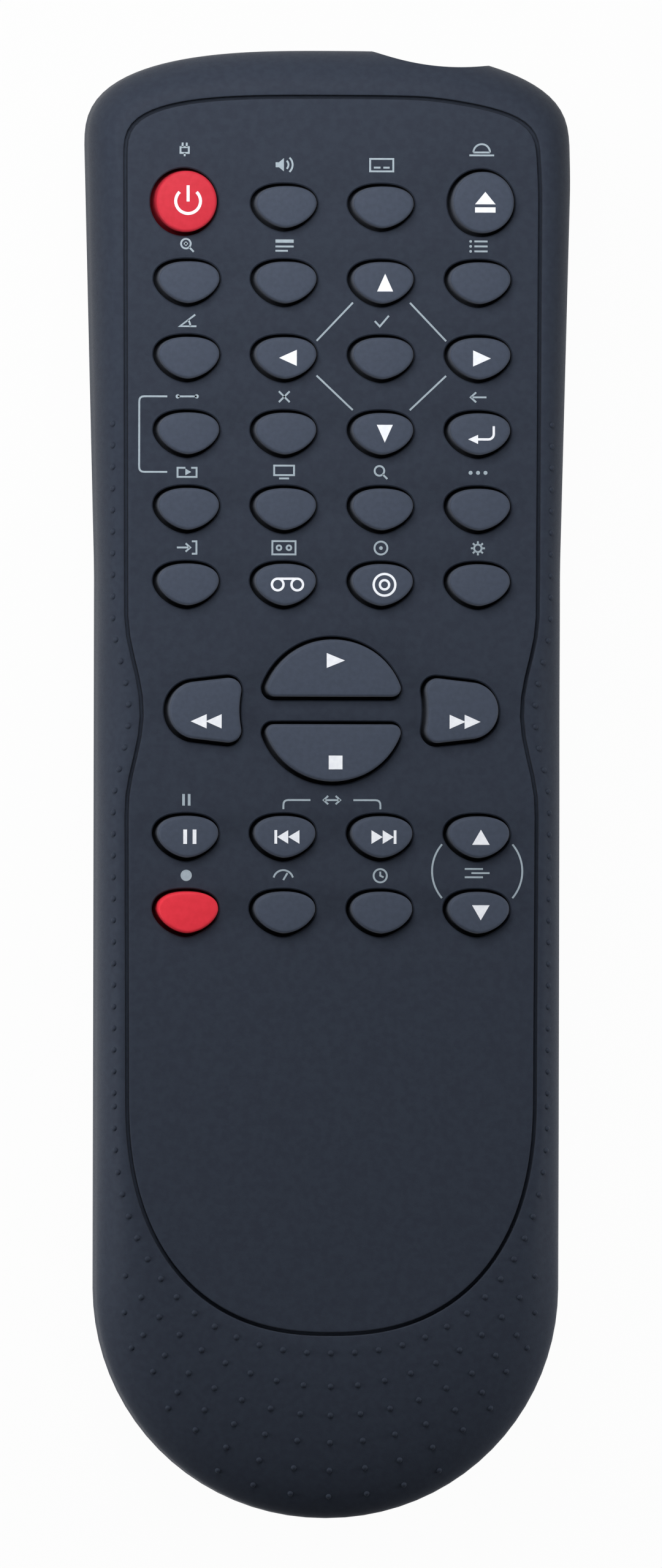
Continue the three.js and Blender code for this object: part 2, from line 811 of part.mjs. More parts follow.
const tabXs = [-cellSpacing / 2, cellSpacing / 2];
const tabTopZ = boardBottomZ - solderGap;
const tabSlot = (x) =>
  box(
    [x - tabWidth / 2 - tabGap, bayHeadY - overrun, tabTopZ - plateThickness - tabGap],
    [x + tabWidth / 2 + tabGap, bayHeadY + bayWall + overrun, tabTopZ + tabGap],
  );

// Slots beside the door opening, in which its two tongues slide.
const tongueSlot = box(
  [-slotHalf, -halfLength - overrun, tongueBottomZ - doorGap],
  [slotHalf, tongueHeadY + doorBackGap, tongueTopZ + doorBackGap],
);

const lowerRays = stations;
const lowerSkin = lowerBody(0, partingHeight, lowerRays).subtract(
  lowerBody(wall, partingHeight + overrun, coarseStations),
);
const doorFrame = lowerBody(0, partingHeight, lowerRays)
  .subtract(lowerBody(skinInset + skinThickness, partingHeight + overrun, coarseStations))
  .intersect(doorZone(doorGap + tongueWidth + skinThickness, skinThickness));
const doorRecess = doorZone(doorGap, doorGap).subtract(
  lowerBody(skinInset, partingHeight + overrun, lowerRays),
);
const lowerHousing = joined([
  lowerSkin,
  doorFrame,
  bayOuter,
  ...screwXs.map(lowerBoss),
  noseBlock(wall / 2, partingHeight).intersect(lowerBody(0, partingHeight, lowerRays)),
]).subtract(
  joined([
    bayHollow,
    doorRecess,
    tongueSlot,
    ...tabXs.map(tabSlot),
    ...screwXs.map(screwBore),
    scoop,
    diodeBore,
  ]),
);
add("lower_housing", geometryOf(lowerHousing), materials.housing);

// Battery door: a shell of the back, with tongues along both sides and a ribbed thumb hold

const doorSkin = lowerBody(doorSink, doorTopZ + overrun, lowerRays).subtract(
  lowerBody(doorInnerInset, doorTopZ + overrun * 2, lowerRays),
);
const doorBlank = box([-doorHalf, -halfLength, 0], [doorHalf, doorHeadY, doorTopZ]);
const tongue = box(
  [doorHalf - tongueRoot, tongueFootY, tongueBottomZ],
  [doorHalf + tongueWidth, tongueHeadY, tongueTopZ],
);
const gripLines = Array.from({ length: gripCount }, (_, i) => {
  const y = doorHeadY - gripMargin - i * gripPitch;
  return box([-gripHalfWidth, y - gripLineWidth, -overrun], [gripHalfWidth, y, doorSink + gripDepth]);
});
const door = doorSkin
  .intersect(doorBlank)
  .add(tongue)
  .add(tongue.mirror([1, 0, 0]))
  .subtract(joined(gripLines));
add("battery_door", geometryOf(door), materials.housing);

// Cells, one each way round

const cellGeometry = () => {
  const half = cellLength / 2;
  return geometryOf(
    turned(
      [
        [0, -half],
        [cellRadius - cellEdge, -half],
        [cellRadius, -half + cellEdge],
        [cellRadius, half - cellEdge],
        [cellRadius - cellEdge, half],
        [nubRadius, half],
        [nubRadius, half + nubLength],
        [0, half + nubLength],
      ],
      cellSides,
    ),
  );
};
const cellShift = bayLength / 2 - plateRoom - bumpHeight - contactGap - nubLength - cellLength / 2;
const bayMiddleY = (bayHeadY + bayFootY) / 2;
for (const [index, x] of tabXs.entries()) {
  const towardHead = x > 0 ? 1 : -1;
  const y = bayMiddleY + towardHead * cellShift;
  const cell = add(`battery_${index + 1}`, cellGeometry(), materials.cell, [x, y, cellZ]);
  cell.rotation.x = (-towardHead * Math.PI) / 2;
}

// Battery contacts, made for the end at +y = 0 and reaching to -y

const contactBump = (x) =>
  turned([
    [0, -plateThickness / 2],
    [bumpRadius, -plateThickness / 2],
    [bumpTipRadius, bumpHeight],
    [0, bumpHeight],
  ])
    .rotate(90, 0, 0)
    .translate(x, -plateThickness, 0);

// A tapering coil along -y, wound as one tube.
const contactSpring = (x) => {
  const steps = coilTurns * coilSteps;
  const reachY = springLength - wireRadius;
  const rows = [];
  for (let i = 0; i <= steps; i++) {
    const share = i / steps;
    const angle = share * coilTurns * 2 * Math.PI;
    const radius = coilBaseRadius + (coilTipRadius - coilBaseRadius) * share;
    rows.push(
      Array.from({ length: coilSides }, (_, k) => {
        const turn = (k / coilSides) * 2 * Math.PI;
        const out = radius + wireRadius * Math.cos(turn);
        const y = wireRadius * Math.sin(turn) - reachY * share;
        return [out * Math.cos(angle), y, out * Math.sin(angle)];
      }),
    );
  }
  return tube(rows).translate(x, -plateThickness, 0);
};

const plate = (x) =>
  box(
    [x - plateHalfWidth, -plateThickness, -plateHalfHeight],
    [x + plateHalfWidth, 0, plateHalfHeight],
  );
const headContactY = bayHeadY - plateGap;
const tabRise = tabTopZ - cellZ;
const tab = joined([
  box([-tabWidth / 2, -plateThickness, 0], [tabWidth / 2, 0, tabRise]),
  box([-tabWidth / 2, -plateThickness, tabRise - plateThickness], [tabWidth / 2, tabReach, tabRise]),
]);
const headPlate = plate(0).add(tab);
add("positive_contact", geometryOf(headPlate.add(contactBump(0))), materials.metal, [
  cellSpacing / 2,
  headContactY,
  cellZ,
]);
add("negative_contact", geometryOf(headPlate.add(contactSpring(0))), materials.metal, [
  -cellSpacing / 2,
  headContactY,
  cellZ,
]);
const bridgeBar = box(
  [-cellSpacing / 2, -plateThickness, -plateHalfHeight],
  [cellSpacing / 2, 0, ridgeZ - cellZ - plateGap],
);
const bridge = joined([...tabXs.map(plate), bridgeBar])
  .add(contactBump(-cellSpacing / 2))
  .add(contactSpring(cellSpacing / 2))
  .mirror([0, 1, 0]);
add("bridge_contact", geometryOf(bridge), materials.metal, [0, bayFootY + plateGap, cellZ]);

// Screws

const screw = () => {
  const head = [
    [0, -screwHeadThickness],
    [screwHeadRadius, -screwHeadThickness],
    [screwHeadRadius, 0],
    [screwShankRadius, 0],
    [screwShankRadius, screwLength - screwShankRadius],
    [0, screwLength],
  ];
  const low = -screwHeadThickness - overrun;
  const high = crossRecess - screwHeadThickness;
  const bar = (halfX, halfY) => box([-halfX, -halfY, low], [halfX, halfY, high]);
  return turned(head, bossSides)
    .subtract(bar(crossLength / 2, crossWidth / 2))
    .subtract(bar(crossWidth / 2, crossLength / 2));
};
for (const [index, x] of screwXs.entries()) {
  const place = [x, screwY, screwSeatZ - seatGap];
  add(`case_screw_${index + 1}`, geometryOf(screw()), materials.metal, place);
}

// Infrared diode, looking out of the scoop, with its leads bent up to the board

const scoopFloorY = scoopMiddleY - Math.sqrt(scoopRadius ** 2 - (diodeX - scoopX) ** 2);
const diodeTipY = scoopFloorY + diodeProud;
const diode = () => {
  const straight = diodeLength - diodeRadius;
  const dome = arc(0, straight, diodeRadius, 0, Math.PI / 2, 4);
  const body = turned([
    [0, 0],
    [diodeFlangeRadius, 0],
    [diodeFlangeRadius, diodeFlangeThickness],
    [diodeRadius, diodeFlangeThickness],
    ...dome.slice(0, -1),
    [0, diodeLength],
  ]);
  const half = leadThickness / 2;
  const rise = boardBottomZ - solderGap - diodeZ;
  const lead = (x) =>
    box([x - half, -half, -leadBendLength], [x + half, half, diodeFlangeThickness / 2]).add(
      box([x - half, -half, -leadBendLength], [x + half, rise, leadThickness - leadBendLength]),
    );
  const made = joined([body, lead(-leadSpacing / 2), lead(leadSpacing / 2)]);
  return made.rotate(90, 0, 0).mirror([0, 1, 0]);
};
add("infrared_diode", geometryOf(diode()), materials.diode, [diodeX, diodeTipY - diodeLength, diodeZ]);

// Parts soldered under the board

const solderZ = boardBottomZ - solderGap;
const onBoard = ([across, along]) => [
  boardHalfWidth * (2 * across - 1),
  boardHeadY - boardLength * along,
  solderZ,
];
const chip = () => {
  const halfLong = chipLength / 2;
  const halfAcross = chipWidth / 2;
  const body = box([-halfLong, -halfAcross, -chipThickness], [halfLong, halfAcross, 0]);
  const pins = Array.from({ length: pinCount }, (_, i) => {
    const x = (i - (pinCount - 1) / 2) * pinPitch;
    const reachY = halfAcross + pinReach;
    return box([x - pinWidth / 2, -reachY, -chipThickness / 2], [x + pinWidth / 2, reachY, 0]);
  });
  return joined([body, ...pins]);
};
add("controller_chip", geometryOf(chip()), materials.chip, onBoard(chipShares));

const resonator = box(
  [-resonatorWidth / 2, -resonatorDepth / 2, -resonatorHeight],
  [resonatorWidth / 2, resonatorDepth / 2, 0],
);
add("resonator", geometryOf(resonator), materials.resonator, onBoard(resonatorShares));
const capacitor = rod(capacitorRadius, -capacitorHeight, 0, roundSides);
add("capacitor", geometryOf(capacitor), materials.chip, onBoard(capacitorShares));

const transistor = rod(transistorRadius, -transistorHeight, 0, roundSides).subtract(
  box(
    [-transistorRadius, transistorFlat, -transistorHeight - overrun],
    [transistorRadius, transistorRadius + overrun, overrun],
  ),
);
add("transistor", geometryOf(transistor), materials.chip, onBoard(transistorShares));

export default part;
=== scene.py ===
"""Looks for a remote control for a disc and tape player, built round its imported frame.

Lengths are in millimetres and are turned into metres when a mesh is made. +Z is out of the key
face, +Y points to the infrared end, and the back lies on z = 0.
"""

from math import acos, atan2, cos, hypot, pi, radians, sin, sqrt

import bmesh
import bpy
from mathutils import Matrix, Vector


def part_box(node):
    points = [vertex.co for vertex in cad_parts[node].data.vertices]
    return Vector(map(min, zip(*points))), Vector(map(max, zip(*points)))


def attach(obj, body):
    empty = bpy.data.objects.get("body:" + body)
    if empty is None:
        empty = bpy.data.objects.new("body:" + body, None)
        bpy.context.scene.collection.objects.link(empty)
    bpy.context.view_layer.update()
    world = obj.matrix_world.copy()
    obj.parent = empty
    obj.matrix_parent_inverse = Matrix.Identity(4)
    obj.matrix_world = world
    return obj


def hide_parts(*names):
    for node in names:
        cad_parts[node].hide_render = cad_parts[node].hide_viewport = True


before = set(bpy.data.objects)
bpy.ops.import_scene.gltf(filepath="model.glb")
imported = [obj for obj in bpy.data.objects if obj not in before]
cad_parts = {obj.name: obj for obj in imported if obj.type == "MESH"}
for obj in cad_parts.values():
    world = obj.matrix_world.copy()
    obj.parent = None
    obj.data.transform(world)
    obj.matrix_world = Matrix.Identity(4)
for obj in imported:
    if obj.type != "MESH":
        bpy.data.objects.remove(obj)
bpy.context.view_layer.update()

MM = 0.001


def corners(node):
    """Lowest and highest corner of a frame node, in millimetres."""
    low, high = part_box(node)
    return low / MM, high / MM


def middle(node):
    low, high = corners(node)
    return (low + high) / 2


# Sizes read from the frame
case_low, case_high = corners("upper_housing")
mat_low, mat_high = corners("keypad_mat")
board_low, board_high = corners("circuit_board")
diode_low, diode_high = corners("infrared_diode")
HALF_LENGTH = case_high.y
PANEL_Z = case_high.z
SEAM_TOP_Z = case_low.z
KEY_TOP_Z = corners("audio_key")[1].z
CELL_Z = middle("battery_1").z
CELL_X = middle("battery_2").x
DOOR_HEAD_Y = corners("battery_door")[1].y
SCREW_X = middle("case_screw_2").x
SCREW_Y = middle("case_screw_2").y

# Case
WALL = 1.8
PANEL_THICKNESS = 2
PANEL_UNDER_Z = PANEL_Z - PANEL_THICKNESS
SEAM_EDGE = 0.12
SEAM_GAP = 0.2
PARTING_Z = SEAM_TOP_Z - SEAM_GAP
FRAME_DROP = 7
CAVITY_INSET = 0.8
WALL_DRAFT = 0.15
BOTTOM_INSET = 6
BOTTOM_RISE = 8
BODY_HALF = 28.18
FOOT_REACH = 28.1
FOOT_POWER = 2.015
HEAD_HALF = 29.46
FLARE_LENGTH = 51.5
HEAD_CORNER = 11.5
HEAD_POWER = 2.75
HEAD_TRIM = 0.55
TRIM_ANGLE = radians(35)
TRIM_HALF_ANGLE = radians(25)

# Key panel and its groove
PANEL_HALF = 24.66
PANEL_HEAD_HALF = 25.1
PANEL_FOOT_MARGIN = 22.6
PANEL_FOOT_REACH = 28.9
PANEL_FOOT_POWER = 2.36
PANEL_HEAD_MARGIN = 5.95
PANEL_HEAD_REACH = 7.55
PANEL_HEAD_POWER = 3.4
WAIST_DEPTH = 1.86
WAIST_HALF_LENGTH = 11.9
WAIST_SHIFT = 0.25
GROOVE_WIDTH = 0.72
GROOVE_DEPTH = 0.9
# (share of the groove's width, share of its depth), the last one on the flat panel
GROOVE_SHARES = [
    (0.06, 0.01),
    (0.13, 0.05),
    (0.18, 0.16),
    (0.22, 0.85),
    (0.3, 1),
    (0.7, 1),
    (0.78, 0.85),
    (0.82, 0.16),
    (0.87, 0.05),
    (0.94, 0.01),
    (1, 0),
    (1.5, 0),
]

# Scoop in the nose
SCOOP_RADIUS = 26.6
SCOOP_X = 15.2
SCOOP_DEPTH = 2.2
NOSE_BLOCK_WIDTH = 19
NOSE_BLOCK_DEPTH = 5.5

# Keys
KEY_GAP = 0.3
KEY_SHIFT_X = 0.18
KEY_DRAFT = 0.08
APERTURE_EDGE = 0.14
KEY_EDGE = 0.34
APERTURE_GROWTH = 0.06
APERTURE_SHIFT = 0.06
KEY_CROWN = 0.2
KEY_SKIRT = 0.55
SKIRT_GAP = 0.1
KEY_TRAVEL = 0.9
STEM_RADIUS = 1.6
OVAL_HALF_WIDTH = 3.72
OVAL_UPPER = 2.2
OVAL_LOWER = 2.93
OVAL_UPPER_POWER = 2.3
OVAL_LOWER_POWER = 1.7
ROUND_RADIUS = 3.75
CLUSTER_RADIUS = 8.66
CLUSTER_SLOT = 3.34
CLUSTER_CORNER = 1.05
WIND_INNER_RADIUS = 11.45
WIND_CORNER = 1.5
WIND_HALF_HEIGHT = 3.95
WIND_OUTER_RADIUS = 3.5
WIND_OUTER_X = 20.05

# Legends printed on the panel and on the keys
INK_HEIGHT = 0.03
INK_SINK = 0.12
PANEL_STROKE = 0.22
KEY_STROKE = 0.36
LEAST_MITRE_SHARE = 0.4

# Inside of the case
RIB_WIDTH = 0.6
RIB_GAP = 0.1
HOOK_LENGTH = 6
HOOK_REACH = 1.3
HOOK_THICKNESS = 1.1
HOOK_GAP = 0.2
HOOK_SHARES = (0.08, 0.47, 0.82)
SCREW_HEAD_RADIUS = 2.2
SCREW_HEAD_THICKNESS = 1.6
SCREW_SHANK_RADIUS = 1.05
SCREW_LENGTH = 9.5
SCREW_SEAT_Z = 6
SCREW_CLEARANCE = 0.3
SCREW_EASE = 0.4
LOWER_BOSS_RADIUS = 3.5
BOSS_FLOOR = 2
UPPER_BOSS_RADIUS = 2.5
BOSS_GAP = 0.2
PILOT_GAP = 0.15
SEAT_GAP = 0.1

# Battery bay, cells and door
CELL_RADIUS = 7.1
CELL_LENGTH = 48.7
NUB_RADIUS = 2.6
NUB_LENGTH = 1.3
CELL_GAP = 0.35
BAY_WALL = 1.2
BOARD_TO_BAY = 0.9
BAY_LENGTH = 56.5
RIDGE_SHARE = 0.33
DOOR_SIDE_MARGIN = 1.85
DOOR_TOP_Z = 8
DOOR_THICKNESS = 1.6
DOOR_SINK = 0.3
DOOR_GAP = 0.25
DOOR_BACK_GAP = 0.3
SKIN_THICKNESS = 1.2
TONGUE_WIDTH = 1.1
TONGUE_ROOT = 1.2
TONGUE_THICKNESS = 0.6
TONGUE_HEAD_MARGIN = 1.5
TONGUE_FOOT_MARGIN = 7.5
GRIP_COUNT = 5
GRIP_PITCH = 2.4
GRIP_HALF_WIDTH = 8.5
GRIP_LINE_WIDTH = 1.1
GRIP_DEPTH = 0.5
GRIP_MARGIN = 6
GRIP_RADIUS = 0.5
GRIP_FLOOR_RADIUS = 0.28
ARROW_GAP = 4.6
ARROW_HALF_WIDTH = 2.6
ARROW_LENGTH = 3.4
ARROW_DEPTH = 0.3

# Contacts
PLATE_THICKNESS = 0.4
PLATE_GAP = 0.2
PLATE_HALF_WIDTH = 5
PLATE_HALF_HEIGHT = 5.4
PLATE_CORNER = 1.2
BUMP_RADIUS = 2
BUMP_HEIGHT = 0.5
BUMP_TIP_RADIUS = 0.05
SPRING_LENGTH = 4.6
COIL_TURNS = 4
COIL_BASE_RADIUS = 4.3
COIL_TIP_RADIUS = 2.6
WIRE_RADIUS = 0.32
TAB_WIDTH = 2.2
TAB_REACH = 3.6
TAB_GAP = 0.2
SOLDER_GAP = 0.2

# Infrared diode
DIODE_X = (diode_low.x + diode_high.x) / 2
DIODE_RADIUS = 2.5
DIODE_FLANGE_RADIUS = 2.9
DIODE_FLANGE_THICKNESS = 1
DIODE_LENGTH = 8.6
DIODE_Z = diode_low.z + DIODE_FLANGE_RADIUS
DIODE_GAP = 0.3
FLANGE_EASE = 0.15
LENS_TIP_RADIUS = 0.1
LEAD_SPACING = 2.54
LEAD_RADIUS = 0.28
LEAD_BEND = 1.7
LEAD_CORNER = 0.5
LEAD_EASE = 0.15
LEAD_SINK = 0.4

# Grip pips on the frame; a row is (radius on the centre line, radius at its end, steps to its end)
PIP_RADIUS = 0.34
PIP_HEIGHT = 0.3
PIP_SINK = 0.15
PIP_CENTRE_Y = -39.9
PIP_STEP = radians(5.76)
PIP_ROWS = [
    (32.8, 31.5, 9),
    (36.3, 34.5, 8),
    (39.6, 37.0, 7),
    (43.0, 40.5, 5),
    (46.2, 45.1, 3),
]
PIP_SIDE_OUT = 1.2
PIP_FOOT_OUT = 1.9
PIP_HEAD_Y = 43.5
PIP_PITCH = 2.6

# Facet counts
FOOT_FAN = 36
HEAD_FAN = 46
SIDE_STEP = 2.4
FRAME_STEPS = 22
BOTTOM_STEPS = 9
KEY_SIDES = 64
ROUND_SIDES = 48
WIRE_SIDES = 10
PIP_STEPS = 5
PIP_SIDES = 14
BUMP_STEPS = 6
LENS_STEPS = 12
COIL_STEPS = 28
END_POINTS = 9
CORNER_POINTS = 7
BOW_POINTS = 25
RING_POINTS = 33
DOT_POINTS = 25
HALVINGS = 36

# Overrun of the cutters, so that none ends on a face
OVERRUN = 1


# Colours

def srgb(red, green, blue):
    """A colour written as 0 to 255 display values, as linear values."""
    def linear(value):
        share = value / 255
        return share / 12.92 if share <= 0.04045 else ((share + 0.055) / 1.055) ** 2.4

    return (linear(red), linear(green), linear(blue), 1)


# Outlines seen from above: a rounded foot, sides with a flare and a waist, a squarish head

waist_y = middle("rewind_key").y - WAIST_SHIFT
head_start_y = HALF_LENGTH - HEAD_CORNER
panel_head_start_y = HALF_LENGTH - PANEL_HEAD_MARGIN - PANEL_HEAD_REACH
panel_foot_start_y = PANEL_FOOT_MARGIN + PANEL_FOOT_REACH - HALF_LENGTH

# foot and head are (start y, reach, power) of the rounded ends
body_outline = {
    "half": BODY_HALF,
    "head_half": HEAD_HALF,
    "foot": (FOOT_REACH - HALF_LENGTH, FOOT_REACH, FOOT_POWER),
    "head": (head_start_y, HEAD_CORNER, HEAD_POWER),
    "flare_start": head_start_y - FLARE_LENGTH,
    "waist": 0,
}
panel_outline = {
    "half": PANEL_HALF,
    "head_half": PANEL_HEAD_HALF,
    "foot": (panel_foot_start_y, PANEL_FOOT_REACH, PANEL_FOOT_POWER),
    "head": (panel_head_start_y, PANEL_HEAD_REACH, PANEL_HEAD_POWER),
    "flare_start": panel_foot_start_y,
    "waist": WAIST_DEPTH,
}


def inset(outline, by):
    """An outline moved in by a distance."""
    smaller = dict(outline)
    smaller["half"] -= by
    smaller["head_half"] -= by
    for end in ("foot", "head"):
        start, reach, power = outline[end]
        smaller[end] = (start, reach - by, power)
    return smaller


def superellipse(share, power):
    return max(0, 1 - share ** power) ** (1 / power)


def half_width(outline, y):
    """Half the width of an outline at y."""
    foot_start, foot_reach, foot_power = outline["foot"]
    head_start, head_reach, head_power = outline["head"]
    if y < foot_start:
        return outline["half"] * superellipse(min(1, (foot_start - y) / foot_reach), foot_power)
    if y > head_start:
        return outline["head_half"] * superellipse(min(1, (y - head_start) / head_reach), head_power)
    flare = max(0, (y - outline["flare_start"]) / (head_start - outline["flare_start"]))
    off = min(1, abs(y - waist_y) / WAIST_HALF_LENGTH)
    waist = outline["waist"] * cos(off * pi / 2) ** 2
    return outline["half"] + (outline["head_half"] - outline["half"]) * flare - waist


SPINE_FOOT_Y = panel_foot_start_y
SPINE_HEAD_Y = head_start_y - HEAD_CORNER


def rays_round_spine():
    """(y, dx, dy) of the rays from the spine along which every outline is read."""
    half = []
    for i in range(FOOT_FAN):
        angle = (i / FOOT_FAN - 1) * pi / 2
        half.append((SPINE_FOOT_Y, cos(angle), sin(angle)))
    side_count = round((SPINE_HEAD_Y - SPINE_FOOT_Y) / SIDE_STEP)
    for i in range(side_count):
        half.append((SPINE_FOOT_Y + (SPINE_HEAD_Y - SPINE_FOOT_Y) * i / side_count, 1, 0))
    for i in range(HEAD_FAN + 1):
        angle = i / HEAD_FAN * pi / 2
        half.append((SPINE_HEAD_Y, cos(angle), sin(angle)))
    half[0] = (SPINE_FOOT_Y, 0, -1)
    half[-1] = (SPINE_HEAD_Y, 0, 1)
    return half + [(y, -dx, dy) for y, dx, dy in reversed(half[1:-1])]


ALL_RAYS = rays_round_spine()


def head_trim(ray):
    """How much the right corner of the head is trimmed along a ray."""
    off = (atan2(ray[2], ray[1]) - TRIM_ANGLE) / TRIM_HALF_ANGLE
    return HEAD_TRIM * cos(off * pi / 2) ** 2 if abs(off) < 1 else 0


def reach_along(outline, ray):
    """How far an outline is along a ray, found by halving, less the trim of the head."""
    start_y, dx, dy = ray
    lowest = outline["foot"][0] - outline["foot"][1]
    highest = outline["head"][0] + outline["head"][1]
    near = 0
    far = 2 * HALF_LENGTH
    for _ in range(HALVINGS):
        half_way = (near + far) / 2
        y = start_y + dy * half_way
        if y > highest or y < lowest or abs(dx) * half_way > half_width(outline, y):
            far = half_way
        else:
            near = half_way
    return near - head_trim(ray)


known_points = {}


def points_on(outline):
    """Where every ray leaves an outline, worked out once for each outline."""
    key = tuple(outline.values())
    if key not in known_points:
        points = []
        for ray in ALL_RAYS:
            start_y, dx, dy = ray
            length = reach_along(outline, ray)
            points.append((dx * length, start_y + dy * length))
        known_points[key] = points
    return known_points[key]


def ring_of(outline, z):
    return [(x, y, z) for x, y in points_on(outline)]


def rounded_ring(inner, outer, angle, inner_z, outer_z):
    """A ring between two outlines on an elliptical rounding; angle 0 is the inner one."""
    out = sin(angle)
    z = inner_z + (outer_z - inner_z) * (1 - cos(angle))
    ends = zip(points_on(inner), points_on(outer))
    return [(ax + (bx - ax) * out, ay + (by - ay) * out, z) for (ax, ay), (bx, by) in ends]


def rounding(steps):
    """Angles from 0 to a quarter turn."""
    return [i / steps * pi / 2 for i in range(steps + 1)]


def dome(radius, height, steps, low_z=0):
    """Profile points of a dome, all but the one on its axis."""
    return [(radius * cos(angle), low_z + height * sin(angle)) for angle in rounding(steps)[:-1]]


# Key outlines, anticlockwise about the key's own middle, moved in by a distance

def arc(x, y, radius, start, end, count):
    """Points on an arc between two angles in radians."""
    points = []
    for i in range(count):
        angle = start + (end - start) * i / (count - 1)
        points.append((x + radius * cos(angle), y + radius * sin(angle)))
    return points


def signed_power(value, power):
    return abs(value) ** power * (1 if value > 0 else -1)


def oval_outline(by):
    """An egg, flatter above its widest line than below."""
    widest_y = (OVAL_LOWER - OVAL_UPPER) / 2
    points = []
    for i in range(KEY_SIDES):
        angle = (i + 0.5) / KEY_SIDES * 2 * pi
        up = sin(angle) > 0
        power = OVAL_UPPER_POWER if up else OVAL_LOWER_POWER
        height = (OVAL_UPPER if up else OVAL_LOWER) - by
        across = signed_power(cos(angle), 2 / power)
        along = signed_power(sin(angle), 2 / power)
        points.append(((OVAL_HALF_WIDTH - by) * across, widest_y + height * along))
    return points


def round_outline(by):
    return arc(0, 0, ROUND_RADIUS - by, 0, 2 * pi, KEY_SIDES + 1)[1:]


SEGMENT_MIDDLE = (CLUSTER_RADIUS + CLUSTER_SLOT / 2) / 2
LEAST_CORNER_SHARE = 0.35
BEND_COUNT = KEY_SIDES // 5


def play_outline(by):
    """The half of the disc above the slot."""
    radius = CLUSTER_RADIUS - by
    corner = max(CLUSTER_CORNER - by, CLUSTER_CORNER * LEAST_CORNER_SHARE)
    corner_y = CLUSTER_SLOT / 2 + by + corner
    corner_x = sqrt((radius - corner) ** 2 - corner_y ** 2)
    tangent = atan2(corner_y, corner_x)
    points = arc(corner_x, corner_y, corner, -pi / 2, tangent, BEND_COUNT)[:-1]
    points += arc(0, 0, radius, tangent, pi - tangent, KEY_SIDES - 2 * BEND_COUNT + 2)
    points += arc(-corner_x, corner_y, corner, pi - tangent, 1.5 * pi, BEND_COUNT)[1:]
    return [(x, y - SEGMENT_MIDDLE) for x, y in points]


WIND_MIDDLE_X = (WIND_OUTER_X + WIND_INNER_RADIUS) / 2
HOLLOW_COUNT = 9


def rewind_outline(by):
    """A key with a round outer end and an inner side hollowed to the disc."""
    corner_y = WIND_HALF_HEIGHT - WIND_CORNER
    corner_x = -sqrt((WIND_INNER_RADIUS + WIND_CORNER) ** 2 - corner_y ** 2)
    end_x = WIND_OUTER_RADIUS - WIND_OUTER_X
    apart = hypot(corner_x - end_x, corner_y)
    lean = atan2(corner_y, corner_x - end_x) + acos((WIND_OUTER_RADIUS - WIND_CORNER) / apart)
    inward = atan2(-corner_y, -corner_x)
    corner = max(WIND_CORNER - by, WIND_CORNER * LEAST_CORNER_SHARE)
    hollow = atan2(corner_y, corner_x)
    end_count = KEY_SIDES - 2 * BEND_COUNT
    points = arc(corner_x, corner_y, corner, inward, lean, BEND_COUNT)
    points += arc(end_x, 0, WIND_OUTER_RADIUS - by, lean, 2 * pi - lean, end_count)[1:-1]
    points += arc(corner_x, -corner_y, corner, -lean, -inward, BEND_COUNT)
    points += arc(0, 0, WIND_INNER_RADIUS + by, 2 * pi - hollow, hollow, HOLLOW_COUNT)[1:-1]
    return [(x + WIND_MIDDLE_X, y) for x, y in points]


def turned_over(points, flip_x, flip_y):
    return [(x * flip_x, y * flip_y) for x, y in reversed(points)]


def stop_outline(by):
    return turned_over(play_outline(by), 1, -1)


def forward_outline(by):
    return turned_over(rewind_outline(by), -1, 1)


KEY_OUTLINES = {
    "play": play_outline,
    "stop": stop_outline,
    "rewind": rewind_outline,
    "forward": forward_outline,
    "power": round_outline,
    "open_close": round_outline,
}
KEY_NAMES = [node[: -len("_key")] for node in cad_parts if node.endswith("_key")]


def key_outline(name, by):
    return KEY_OUTLINES.get(name, oval_outline)(by)


def key_middle(name):
    place = middle(name + "_key")
    return place.x, place.y


# Meshes

def placed(name, data):
    """A new object in the scene round a mesh, a camera or a light."""
    made = bpy.data.objects.new(name, data)
    bpy.context.scene.collection.objects.link(made)
    return made


def skinned(name, rings, closed=False):
    """A solid over rings of points, with a flat cap at both ends or closed into a loop."""
    count = len(rings[0])
    points = [Vector(point) * MM for row in rings for point in row]
    faces = []
    for start in range(0, len(points) if closed else len(points) - count, count):
        after = (start + count) % len(points)
        for i in range(count):
            j = (i + 1) % count
            faces.append((start + i, start + j, after + j, after + i))
    if not closed:
        faces.append(tuple(reversed(range(count))))
        faces.append(tuple(range(len(points) - count, len(points))))
    mesh = bpy.data.meshes.new(name)
    mesh.from_pydata(points, [], faces)
    return placed(name, mesh)


def level(points, z):
    return [(x, y, z) for x, y in points]


def prism(name, points, low_z, high_z):
    return skinned(name, [level(points, low_z), level(points, high_z)])


def block(name, low, high):
    sides = [(low[0], low[1]), (high[0], low[1]), (high[0], high[1]), (low[0], high[1])]
    return prism(name, sides, low[2], high[2])


def turned(name, profile, sides=ROUND_SIDES):
    """A solid turned about +Z from (radius, z) points, none of them on the axis."""
    rings = [level(arc(0, 0, radius, 0, 2 * pi, sides + 1)[1:], z) for radius, z in profile]
    return skinned(name, rings)


def moved(made, x, y, z=0):
    made.data.transform(Matrix.Translation(Vector((x, y, z)) * MM))
    return made


def rod(name, radius, low_z, high_z, x=0, y=0, sides=ROUND_SIDES):
    return moved(turned(name, [(radius, low_z), (radius, high_z)], sides), x, y)


def along_y(made):
    """Turns a solid made along +Z to lie along +Y."""
    made.data.transform(Matrix.Rotation(-pi / 2, 4, "X"))
    return made


def flipped(made, axis):
    """Mirrors a solid through the plane across an axis."""
    made.data.transform(Matrix.Scale(-1, 4, axis))
    made.data.flip_normals()
    return made


def delete(made):
    mesh = made.data
    bpy.data.objects.remove(made)
    bpy.data.meshes.remove(mesh)


